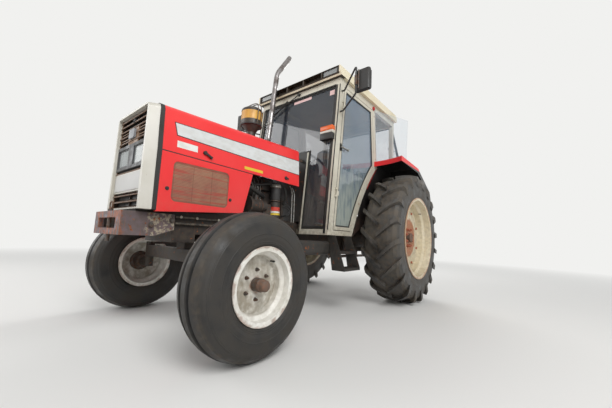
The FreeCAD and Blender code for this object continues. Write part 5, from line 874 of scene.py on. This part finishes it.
# the opened rear window's black frame, with its two gas stays
low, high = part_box("rear_window")
hatchLook = {"open": math.radians(34), "wide": 0.032, "thick": 0.016, "half": high.x - 0.013, "stay": 0.009}
half, wide, thick, stay = [hatchLook[key] for key in ("half", "wide", "thick", "stay")]
down = at(0, math.sin(hatchLook["open"]), -math.cos(hatchLook["open"]))
hatchTop = at(0, low.y + 0.014, high.z - 0.012)
hatchEnd = hatchTop + down * ((high.z - low.z - 0.028) / -down.z)
mesh = bmesh.new()
for name, side, sign, out in sides:
    addBar(mesh, hatchTop + out * half, hatchEnd + out * half, wide, thick, edge=0.003)
    pillar = at(sign * (half - 0.03), low.y - 0.01, high.z - 0.33)
    knob = hatchTop + out * (half - 0.03) + down * 0.36
    addPin(mesh, pillar, pillar + (knob - pillar) * 0.6, stay, sides=16)
    addPin(mesh, pillar + (knob - pillar) * 0.6, knob, stay * 0.6, sides=16)
for end in (hatchTop, hatchEnd):
    addBar(mesh, end - at(half, 0, 0), end + at(half, 0, 0), thick, wide, at(0, down.z, -down.y), edge=0.003)
finishPiece("rearWindowFrame", mesh, blackPlastic)

# black lines of rubber: along the door's edge and its front, beside the screen and beside the hood,
# each with its x, how far behind the cab's face, its ends' heights, and its width and depth in metres
lineLook = ((603.5, 91.5, 800, 2356, 0.004, 0.005), (603.5, 2, 800, 2356, 0.006, 0.010),
            (566, -1, 764, 2358, 0.022, 0.006), (270, 14, 800, 1640, 0.014, 0.014))
mesh = bmesh.new()
for sign in (1, -1):
    for x, behind, foot, head, wide, deep in lineLook:
        addBar(mesh, onCab(sign * x, behind, foot), onCab(sign * x, behind, head), wide, deep)
addBar(mesh, onCab(-557, -1, 2360), onCab(557, -1, 2360), 0.006, 0.012, back)
finishPiece("cabRubberLines", mesh, sealRubber)

# door handles with their locks on the doors' front rail, and a grab rod below
handleLook = {"root": (596, 1671), "reach": at(0, 0.124, -0.004), "rod": (588, 1150, 1560)}
for name, side, sign, out in sides:
    mesh = bmesh.new()
    x, z = handleLook["root"]
    root = onCab(sign * x, 112, 1650)
    root.z = z / 1000
    addBox(mesh, root - at(0.009, 0.02, 0.045), root + at(0.009, 0.02, 0.045), edge=0.004)
    lock = root + out * 0.022 + handleLook["reach"]
    addBar(mesh, root + out * 0.02, lock, 0.018, 0.014, out, edge=0.004)
    addPin(mesh, root, root + out * 0.03, 0.010)
    addTurned(mesh, lock, out, [(-9, 0), (-9, 12), (9, 12), (11, 0)])
    finishPiece("doorHandle" + name, mesh, galvanised, f"door_{side}")
    mesh = bmesh.new()
    x, foot, head = handleLook["rod"]
    low, high = onCab(sign * x, 150, foot), onCab(sign * x, 150, head)
    inward = out * -0.05
    addPipe(mesh, [low, low + inward * 0.8, low + inward + up * 0.03, high + inward - up * 0.03,
                   high + inward * 0.8, high], 0.009)
    finishPiece("grabRod" + name, mesh, blackPlastic, f"door_{side}")

# marker lamps on the front pillars: amber over clear, in a dark holder
markerLook = {"inner": 435, "outer": 588, "amber": (1826, 1876), "clear": (1798, 1825),
              "holder": (1729, 1797), "screws": (449, 574)}
ambers, clears, holders = bmesh.new(), bmesh.new(), bmesh.new()
front = (onCab(0, -49, 1800).y - frontAxle.y) * 1000
rear = (onCab(0, -2, 1874).y - frontAxle.y) * 1000
foot = (onCab(0, -48, 1731).y - frontAxle.y) * 1000
for sign in (1, -1):
    for mesh, face, key, edge in ((ambers, front, "amber", 0.006), (clears, front - 1, "clear", 0.006),
                                  (holders, foot, "holder", 0.004)):
        low, high = markerLook[key]
        addBox(mesh, spot(sign * markerLook["inner"], face, low), spot(sign * markerLook["outer"], rear, high),
               edge=edge)
    for x in markerLook["screws"]:
        addPin(ambers, spot(sign * x, front + 2, 1846), spot(sign * x, front - 3, 1846), 0.005, sides=12)
finishPiece("markerAmber", ambers, amberLens)
finishPiece("markerClear", clears, clearLens)
finishPiece("markerHolders", holders, blackPlastic)

# the wiper in black over its plain shape
wiperLook = {"arm": 0.0062, "blade": 0.0085, "clips": (0.2, 0.8)}
mesh = bmesh.new()
root, elbow, tip = onCab(30, 2, 2400), onCab(30, -18, 2400), onCab(-520, -18, 2180)
reach = elbow + (tip - elbow) * 0.72
bladeTop, bladeEnd = onCab(-156, -9, 2370), onCab(-530, -9, 2120)
addPin(mesh, root + back * 0.004, elbow - back * 0.009, 0.0165)
addPin(mesh, elbow, reach, wiperLook["arm"], sides=12)
addPin(mesh, reach, (bladeTop + bladeEnd) / 2, wiperLook["arm"], sides=12)
addPin(mesh, bladeTop, bladeEnd, wiperLook["blade"], sides=12)
for part in wiperLook["clips"]:
    ends = [bladeTop + (bladeEnd - bladeTop) * (part + step) + ahead * 0.006 for step in (-0.05, 0.05)]
    addBar(mesh, *ends, 0.016, 0.01, edge=0.002)
finishPiece("wiperArm", mesh, sealRubber)

# blank stickers inside the windscreen's top: x and z in millimetres, width and height in metres
stickerLook = ((75, 2318, 0.27, 0.034), (505, 2292, 0.074, 0.058))
mesh = bmesh.new()
for x, z, wide, high in stickerLook:
    addPlate(mesh, onCab(x, 15.4, z), at(0, -1, cabLean).normalized(), wide, high, 0.0004, 0.006, up=cabUp)
finishPiece("screenStickers", mesh, pinkFilm)

# work lamps in the visor, small red lamps at the rear pillars' heads
workLook = {"x": 0.501, "lens": (0.176, 0.056, 0.003, 0.008), "frame": (0.194, 0.074, 0.008, 0.011)}
lenses, frames, reds = bmesh.new(), bmesh.new(), bmesh.new()
for name, side, sign, out in sides:
    middle = at(sign * workLook["x"], visor.y + 0.0165, visor.z + 0.0645)
    addPlate(lenses, middle, ahead, *workLook["lens"])
    addPlate(frames, middle + back * 0.001, ahead, *workLook["frame"], rim=0.010)
    addTurned(reds, spot(sign * 603, 2004, 2383), out, [(0, 0), (0, 26), (8, 26), (18, 22), (24, 12), (25, 0)], 24)
finishPiece("workLampLenses", lenses, lampGlass)
finishPiece("workLampFrames", frames, blackPlastic)
finishPiece("pillarLamps", reds, redLens)
print("cab dressed")


# mirrors: their glass, a rubber rim round it, and the clamp with its rod along the mirror's back
mirrorLook = {"middle": (921, 1161, 2242.5), "stem": (868, 1101, 2245), "glass": (0.136, 0.183, 0.0016, 0.018),
              "rim": (0.156, 0.203, 0.006, 0.02)}
for name, side, sign, out in sides:
    middle, stem = [spot(sign * x, y, z) for x, y, z in (mirrorLook["middle"], mirrorLook["stem"])]
    mesh = bmesh.new()
    addPlate(mesh, middle - back * 0.001, back, *mirrorLook["glass"])
    finishPiece("mirrorGlass" + name, mesh, mirrorSilver)
    mesh = bmesh.new()
    addPlate(mesh, middle - back * 0.002, back, *mirrorLook["rim"], rim=0.011)
    finishPiece("mirrorRim" + name, mesh, blackPlastic)
    mesh = bmesh.new()
    addBox(mesh, stem - at(0.014, 0.012, 0.05), stem + at(0.014, 0.01, 0.05), edge=0.003)
    for rise in (-0.035, 0.035):
        addPin(mesh, stem + up * rise, stem + at(0, -0.018, rise), 0.007, sides=6)
    addPin(mesh, stem + at(sign * 0.03, -0.006, -0.096), stem + at(sign * 0.03, -0.006, 0.096), 0.005, sides=12)
    finishPiece("mirrorClamp" + name, mesh, rustySteel)
print("mirrors dressed")


# exhaust, pre-cleaner

exhaustLook = {"x": -300, "ahead": -112, "clamps": (1500, 2060), "sleeve": (31, 34.5, -12, 12)}
mesh = bmesh.new()
for z in exhaustLook["clamps"]:
    middle = onCab(exhaustLook["x"], exhaustLook["ahead"], z)
    addSleeve(mesh, middle, cabUp, *exhaustLook["sleeve"])
    addPin(mesh, middle + at(-0.03, -0.034, 0), middle + at(0.03, -0.034, 0), 0.005, sides=12)
finishPiece("exhaustClamps", mesh, galvanised)
bowlLook = {"bands": (-0.196, -0.056), "knob": [(0, 0), (0, 20), (4, 20), (6, 9), (16, 8), (18, 0)],
            "wire": 0.0045}
bowlTop = at((bowlLow.x + bowlHigh.x) / 2, (bowlLow.y + bowlHigh.y) / 2, bowlHigh.z)
mesh = bmesh.new()
for drop in bowlLook["bands"]:
    addSleeve(mesh, bowlTop + up * drop, up, 96, 105, 0, 12, 48)
addTurned(mesh, bowlTop - up * 0.004, up, bowlLook["knob"])
finishPiece("cleanerBands", mesh, blackPlastic, "hood")
mesh = bmesh.new()
for sign in (1, -1):
    start = bowlTop + at(-0.105, sign * 0.02, -0.19)
    addPipe(mesh, [start, start + at(-0.012, 0, 0.06), start + at(-0.01, 0, 0.19),
                   bowlTop + at(-0.06, sign * 0.012, 0.03), bowlTop + at(0.06, sign * 0.012, 0.03),
                   start + at(0.22, 0, 0.19), start + at(0.222, 0, 0.06), start + at(0.21, 0, 0)],
            bowlLook["wire"])
finishPiece("cleanerBail", mesh, rustySteel, "hood")
print("exhaust and pre-cleaner dressed")


# engine bay, seen between the side panels and the cab, in millimetres

engineLook = {"filter": (212, 748), "head": 1180, "bowl": 1044, "wall": 48, "pump": (196, 1036), "lines": 4,
              "bands": {"yellow": (914, 932, yellowFilm), "white": (935, 950, whiteFilm),
                        "red": (952, 990, film("redCanisterFilm", "#C23A2C"))}}
filterX, filterY = engineLook["filter"]
pumpX, pumpTop = engineLook["pump"]


def addHose(mesh, radius, *places):
    addPipe(mesh, [spot(*place) for place in places], radius)


mesh = bmesh.new()
addTurned(mesh, spot(filterX, filterY, engineLook["head"]), up,
          [(0, 0), (0, 47), (3, 50), (20, 50), (25, 47), (36, 44), (40, 22), (45, 20), (48, 12), (48, 0)], 36)
addBox(mesh, spot(filterX - 62, filterY - 22, 1192), spot(filterX - 20, filterY + 22, 1214), edge=0.004)
addPin(mesh, spot(filterX, filterY - 66, 1202), spot(filterX, filterY + 66, 1202), 0.009, sides=6)
finishPiece("filterHead", mesh, castAluminium)
mesh = bmesh.new()
addTurned(mesh, spot(filterX, filterY, engineLook["bowl"]), up,
          [(0, 0), (0, 30), (8, 42), (16, 48.5), (128, 48.5), (128, 0)], 36)
finishPiece("filterBowl", mesh, blackPlastic)
for colour, (low, high, material) in engineLook["bands"].items():
    mesh = bmesh.new()
    wall = engineLook["wall"]
    addSleeve(mesh, spot(filterX, filterY, low), up, wall - 1, wall + 0.8, 0, high - low, 48)
    finishPiece(colour + "CanisterBand", mesh, material)
mesh = bmesh.new()
for line in range(engineLook["lines"]):
    y = 500 + 26 * line
    addHose(mesh, 0.003, (pumpX - 10, y, pumpTop), (pumpX, y - 4, pumpTop + 60),
            (pumpX + 14, y - 30, pumpTop + 120), (pumpX - 20, y - 60 + 30 * line, 1236),
            (pumpX - 70, y - 60 + 34 * line, 1262))
    addPin(mesh, spot(pumpX - 10, y, pumpTop - 6), spot(pumpX - 10, y, pumpTop + 14), 0.009, sides=6)
# pipes that rise between the engine and the cab
for y, low, high in ((968, 862, 1236), (1004, 862, 1222)):
    addHose(mesh, 0.0055, (232, y, low), (236, y - 6, (low + high) / 2), (228, y, high - 40), (196, y - 8, high))
finishPiece("injectorLines", mesh, galvanised)
mesh = bmesh.new()
addHose(mesh, 0.0115, (filterX, filterY + 60, 1202), (226, 836, 1216), (232, 872, 1150), (214, 890, 1080),
        (170, 894, 1040))
addHose(mesh, 0.0115, (filterX, filterY - 60, 1202), (222, 640, 1206), (224, 560, 1180), (200, 470, 1170),
        (150, 420, 1180))
addHose(mesh, 0.019, (150, 330, 1130), (214, 380, 1150), (230, 470, 1120), (214, 560, 1086), (160, 640, 1080))
for y, z, reach in ((900, 984, 66), (912, 962, 48)):
    addHose(mesh, 0.005, (176, y - 20, z + reach), (222, y - 4, z + reach * 0.9), (236, y + reach * 0.9, z),
            (222, y - 4, z - reach * 0.9), (176, y - 20, z - reach))
finishPiece("engineHoses", mesh, sealRubber)
mesh = bmesh.new()
for y in (450, 560):
    addSleeve(mesh, spot(pumpX, y, 985), back, 50, 57, 0, 9)
for z in (1046, 1174):
    addSleeve(mesh, spot(filterX, filterY, z), up, 40, 50, 0, 7)
finishPiece("pumpBands", mesh, rustySteel)
print("engine bay dressed")


# inside the cab, in metres: the seat's cushions are swollen by a short cloth simulation

def settlePad(name, form, voxel, pressure, most):
    data = bpy.data.meshes.new(name)
    form.to_mesh(data)
    form.free()
    piece = bpy.data.objects.new(name, data)
    bpy.context.scene.collection.objects.link(piece)
    remesh = piece.modifiers.new("remesh", "REMESH")
    remesh.mode = "VOXEL"
    remesh.voxel_size = voxel
    graph = bpy.context.evaluated_depsgraph_get()
    dense = bpy.data.meshes.new_from_object(piece.evaluated_get(graph))
    piece.modifiers.clear()
    piece.data = dense
    start = [vert.co.copy() for vert in dense.vertices]
    cloth = piece.modifiers.new("cloth", "CLOTH")
    cloth.settings.use_pressure = True
    cloth.settings.uniform_pressure_force = pressure
    cloth.settings.effector_weights.gravity = 0
    for step in range(1, 21):
        bpy.context.scene.frame_set(step)
    graph = bpy.context.evaluated_depsgraph_get()
    swollen = bpy.data.meshes.new_from_object(piece.evaluated_get(graph))
    piece.modifiers.clear()
    piece.data = swollen
    for vert, home in zip(swollen.vertices, start):
        moved = vert.co - home
        vert.co = home + moved * min(1.0, most / max(moved.length, 1e-9))
    bpy.context.scene.frame_set(1)
    return piece


def cushionForm(low, high, lean, corner, waist):
    # a box cut into small faces, leaning back as it rises, its sides drawn in between the corners
    mesh = bmesh.new()
    addBox(mesh, low, high)
    bmesh.ops.subdivide_edges(mesh, edges=mesh.edges[:], cuts=13, use_grid_fill=True)
    middle = (low + high) / 2
    half = (high - low) / 2
    for vert in mesh.verts:
        away = [(vert.co[i] - middle[i]) / half[i] for i in range(3)]
        for i in range(3):
            others = [away[k] for k in range(3) if k != i]
            vert.co[i] -= away[i] * corner * max(abs(others[0]), abs(others[1])) ** 6
            if i != 2:
                vert.co[i] -= away[i] * waist * (1 - abs(away[1 - i])) * 0.6
        vert.co.y += lean * (vert.co.z - low.z)
    return mesh


# each pad: its low and high corners, its lean, and how much its corners and its waist draw in
seatLook = {"voxel": 0.006, "pressure": 4.0, "most": 0.012,
            "seatCushion": ((-0.221, 0.318, 1.226), (0.221, 0.71, 1.306), 0.0, 0.012, 0.012),
            "seatBack": ((-0.211, 0.712, 1.33), (0.211, 0.778, 1.742), 0.16, 0.012, 0.01)}
pads = []
for name in ("seatCushion", "seatBack"):
    low, high, *shape = seatLook[name]
    pads.append(settlePad(name, cushionForm(at(*low), at(*high), *shape), seatLook["voxel"],
                          seatLook["pressure"], seatLook["most"]))
for pad in pads:
    pad.data.polygons.foreach_set("use_smooth", [True] * len(pad.data.polygons))
    pad.data.materials.append(seatVinyl)
    finer = pad.modifiers.new("finer", "SUBSURF")
    finer.levels = 1
    finer.render_levels = 1
    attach(pad, "chassis")
    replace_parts(pad, "driver_seat")


def landOn(target, start, way):
    found, place, facing, face = target.ray_cast(start, way)
    return place if found else None


# piping sewn round each pad's face and two channels across it; a line is laid on its pad from above
# or from the front, in places of x and depth or height
pipingLook = {"half": 0.187, "radius": 0.0032, "channels": (0.36, 0.64), "steps": 16,
              "reach": ((0.352, 0.656), (1.384, 1.708))}
mesh = bmesh.new()
half, steps = pipingLook["half"], pipingLook["steps"]
for pad, (near, far), way in zip(pads, pipingLook["reach"], (-up, back)):
    lines = [[(-half, near), (half, near), (half, far), (-half, far), (-half, near)]]
    for part in pipingLook["channels"]:
        lines.append([(-half, near + part * (far - near)), (half, near + part * (far - near))])
    for line in lines:
        marks = [(x0 + (x1 - x0) * step / steps, v0 + (v1 - v0) * step / steps)
                 for (x0, v0), (x1, v1) in zip(line, line[1:]) for step in range(steps)] + [line[-1]]
        path = [landOn(pad, at(x, v, 1.6) if way.z else at(x, 0.4, v), way) for x, v in marks]
        addPipe(mesh, [place for place in path if place], pipingLook["radius"])
finishPiece("seatPiping", mesh, sealRubber)

# the seat's suspension: bellows, a pan and the back's brackets
baseLook = {"folds": 7, "foot": 1.124, "middle": 0.537, "pitch": 0.0115, "halves": (0.182, 0.168), "bracket": 0.15}
mesh = bmesh.new()
for fold in range(baseLook["folds"]):
    half, z = baseLook["halves"][fold % 2], baseLook["foot"] + fold * baseLook["pitch"]
    addBox(mesh, at(-half, baseLook["middle"] - half, z), at(half, baseLook["middle"] + half, z + 0.0125),
           edge=0.003)
addBox(mesh, at(-0.2, 0.34, 1.203), at(0.2, 0.72, 1.216), edge=0.004)
for x in (baseLook["bracket"], -baseLook["bracket"]):
    addBar(mesh, at(x, 0.735, 1.208), at(x, 0.82, 1.5), 0.034, 0.012, edge=0.003)
    addBar(mesh, at(x, 0.7, 1.21), at(x, 0.741, 1.21), 0.034, 0.012, edge=0.003)
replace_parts(finishPiece("seatBase", mesh, blackPlastic), "driver_seat")

# dials on the dashboard: x in metres and radius in millimetres
dialLook = ((-0.115, 40), (0.115, 40), (-0.2, 26), (0.2, 26))
dials, faces = bmesh.new(), bmesh.new()
for x, radius in dialLook:
    place = landOn(bpy.data.objects["dashboard"], at(x, 0.6, 1.49), ahead)
    addTurned(dials, place - back * 0.002, back, [(0, radius - 6), (0, radius), (9, radius), (11, radius - 2),
                                                  (9, radius - 6)], 40, closed=True)
    addTurned(faces, place - back * 0.001, back, [(0, 0), (0, radius - 5), (4, radius - 5), (4, 0)], 40)
    hand = place + back * 0.0035
    addBar(dials, hand, hand + at(radius * 0.0004, 0, radius * 0.0006), 0.002, 0.001)
finishPiece("dialRims", dials, sealRubber)
finishPiece("dialFaces", faces, film("paleDialFilm", "#C9CCC6"))

# levers from foot to knob, pedals and the console by the seat
leverLook = (((-0.07, 0.20, 0.938), (-0.09, 0.262, 1.30)), ((-0.15, 0.20, 0.938), (-0.17, 0.262, 1.27)),
             ((0.20, 0.21, 0.938), (0.235, 0.262, 1.2)), ((-0.37, 0.56, 1.33), (-0.37, 0.53, 1.46)),
             ((-0.41, 0.56, 1.33), (-0.41, 0.53, 1.46)), ((-0.39, 0.68, 1.33), (-0.39, 0.65, 1.47)))
pedalLook = {"across": (0.17, -0.10, -0.185), "console": ((-0.46, 0.46, 1.1195), (-0.32, 0.86, 1.342))}
mesh, knobs = bmesh.new(), bmesh.new()
for foot, head in leverLook:
    addPin(mesh, at(*foot), at(*head), 0.006, sides=12)
    addTurned(knobs, at(*head), (at(*head) - at(*foot)).normalized(),
              [(-8, 0), (-6, 10), (4, 19), (16, 22), (28, 17), (34, 8), (35, 0)], 24)
for x in pedalLook["across"]:
    pad = at(x, 0.13, 1.055)
    addBar(mesh, at(x, 0.035, 1.24), pad, 0.014, 0.012, edge=0.002)
    addBox(knobs, pad - at(0.034, 0.008, 0.03), pad + at(0.034, 0.012, 0.03), edge=0.005)
finishPiece("cabLevers", mesh, galvanised)
addBox(knobs, *[at(*corner) for corner in pedalLook["console"]], edge=0.02)
finishPiece("leverKnobs", knobs, blackPlastic)

# a ribbed mat
matLook = {"half": 0.5, "ribs": 33, "pitch": 0.03}
mesh = bmesh.new()
addBox(mesh, at(-matLook["half"], 0.055, 0.9395), at(matLook["half"], 0.27, 0.946), edge=0.002)
for rib in range(matLook["ribs"]):
    x = matLook["pitch"] * rib - 0.48
    addBox(mesh, at(x - 0.006, 0.065, 0.945), at(x + 0.006, 0.26, 0.949))
finishPiece("floorMat", mesh, sealRubber)
print("cab's inside dressed")


# rear, in metres: lamps on the fenders, each with a base, and its lenses' shift, width and material
rearLampLook = {"wide": 0.20, "high": 0.085, "slope": (0, 0.93, 0.38), "red": (-0.22, 0.5), "amber": (0.26, 0.42)}
reds, ambers, bases = bmesh.new(), bmesh.new(), bmesh.new()
slope = at(*rearLampLook["slope"]).normalized()
wide, high = rearLampLook["wide"], rearLampLook["high"]
for name, side, sign, out in sides:
    place = landOn(bpy.data.objects[f"fender_{side}"], at(sign * 0.84, 2.4, 1.3), ahead)
    addPlate(bases, place + slope * 0.014, slope, wide, high, 0.03, 0.008)
    for mesh, key in ((reds, "red"), (ambers, "amber")):
        shift, part = rearLampLook[key]
        addPlate(mesh, place + slope * 0.026 + out * wide * shift, slope, wide * part, high - 0.012, 0.02, 0.006)
finishPiece("rearLampBases", bases, blackPlastic)
finishPiece("rearLampReds", reds, redLens)
finishPiece("rearLampAmbers", ambers, amberLens)

# the guard over the power take-off shaft, the bolts round it and the couplings with their caps
guardLook = {"half": 0.11, "face": 1.267, "shaft": 0.69}
half, face, shaft = guardLook["half"], guardLook["face"], guardLook["shaft"]
mesh = bmesh.new()
addBox(mesh, at(-half, face - 0.002, shaft + 0.075), at(half, face + 0.125, shaft + 0.08), edge=0.001)
for sign in (1, -1):
    addBox(mesh, at(sign * half, face - 0.002, shaft - 0.01),
           at(sign * (half - 0.005), face + 0.12, shaft + 0.078), edge=0.001)
finishPiece("shaftGuard", mesh, blackEnamel)
couplingLook = {"circle": 0.062, "bolts": 6, "couplings": (0.155, 0.193), "height": 0.825, "heads": (0.62, 0.76)}
mesh, caps = bmesh.new(), bmesh.new()
face -= 0.001
for turn in range(couplingLook["bolts"]):
    turned = 2 * math.pi * (turn + 0.5) / couplingLook["bolts"]
    place = at(couplingLook["circle"] * math.cos(turned), face, shaft + couplingLook["circle"] * math.sin(turned))
    addPin(mesh, place, place + back * 0.009, 0.0085, sides=6)
for sign in (1, -1):
    for x in couplingLook["couplings"]:
        place = at(sign * x, face, couplingLook["height"])
        addTurned(mesh, place, back, [(0, 0), (0, 17), (8, 17), (8, 13), (34, 13), (34, 0)], 24)
        addTurned(caps, place + back * 0.028, back, [(0, 0), (0, 16), (14, 16), (18, 12), (18, 0)], 24)
    for z in couplingLook["heads"]:
        place = at(sign * 0.18, face, z)
        addPin(mesh, place, place + back * 0.01, 0.010, sides=6)
finishPiece("rearBolts", mesh, rustySteel)
finishPiece("couplingCaps", caps, film("redRubberCaps", "#A8352C"))
print("rear dressed")


# the photograph's camera, solved from the wheels and the hood's edges
camera = bpy.data.objects.new("photoCamera", bpy.data.cameras.new("photoCamera"))
bpy.context.scene.collection.objects.link(camera)
camera.data.sensor_width = 36
camera.data.lens = 16.55
forward = at(-0.6328, 0.7649, 0.1201).normalized()
right = at(0.7731, 0.6328, 0.0433).normalized()
camera.matrix_world = Matrix.Translation((2.1609, frontAxle.y - 1.1381, 0.711)) @ Matrix(
    (right, right.cross(forward), -forward)).transposed().to_4x4()
bpy.context.scene.camera = camera
bpy.context.scene.view_settings.view_transform = "Standard"

# a pale studio floor that fades into the background some metres out
studioLook = {"floor": "#E4E3E0", "background": "#F1F1EF", "sky": "#F4F6F8", "fill": 0.42,
              "fadeFrom": 3.5, "fadeTo": 11.0}
mesh = bmesh.new()
bmesh.ops.create_circle(mesh, cap_ends=True, segments=64, radius=40)
floorData = bpy.data.meshes.new("studioFloor")
mesh.to_mesh(floorData)
mesh.free()
studioFloor = bpy.data.objects.new("studioFloor", floorData)
bpy.context.scene.collection.objects.link(studioFloor)
studioFloor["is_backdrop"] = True
floorMaterial, add, shader, place = startMaterial("paleStudioFloor", Roughness=0.9)
shader.inputs["Base Color"].default_value = toLinear(studioLook["floor"])
fade = add("share", add("length", place), studioLook["fadeFrom"], studioLook["fadeTo"])
mixed = add("MixShader", fade, shader.outputs[0], add("Emission", studioLook["background"], 1.0))
tree = floorMaterial.node_tree
tree.links.new(mixed, tree.nodes["Material Output"].inputs["Surface"])
floorData.materials.append(floorMaterial)

world = bpy.data.worlds.new("studioWorld")
bpy.context.scene.world = world
world.use_nodes = True
tree = world.node_tree
add = partial(addNode, tree)
rays = add("LightPath").node.outputs
seen = add("most", add("most", rays["Is Camera Ray"], rays["Is Glossy Ray"]), rays["Is Transmission Ray"])
mixed = add("MixShader", seen, add("Background", studioLook["sky"], studioLook["fill"]),
            add("Background", studioLook["background"], 1.0))
tree.links.new(mixed, tree.nodes["World Output"].inputs["Surface"])

# soft lamps: where they stand, what they aim at, how wide they are and their watts
lampPlaces = {"keyLight": ((5.5, -3.5, 5.5), (0, 0, 1.0), 4.0, 400),
              "fillLight": ((-4.5, -5.0, 3.5), (0, -0.5, 1.0), 4.0, 150),
              "rimLight": ((-2.0, 5.5, 5.0), (0, 0.5, 1.2), 3.5, 190)}
for name, (place, aim, width, watts) in lampPlaces.items():
    lamp = bpy.data.objects.new(name, bpy.data.lights.new(name, "AREA"))
    bpy.context.scene.collection.objects.link(lamp)
    lamp.data.size = width
    lamp.data.energy = watts
    lamp.location = place
    lamp.rotation_euler = (at(*aim) - at(*place)).to_track_quat("-Z", "Y").to_euler()
print("camera, floor and lights placed")


low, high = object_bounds()
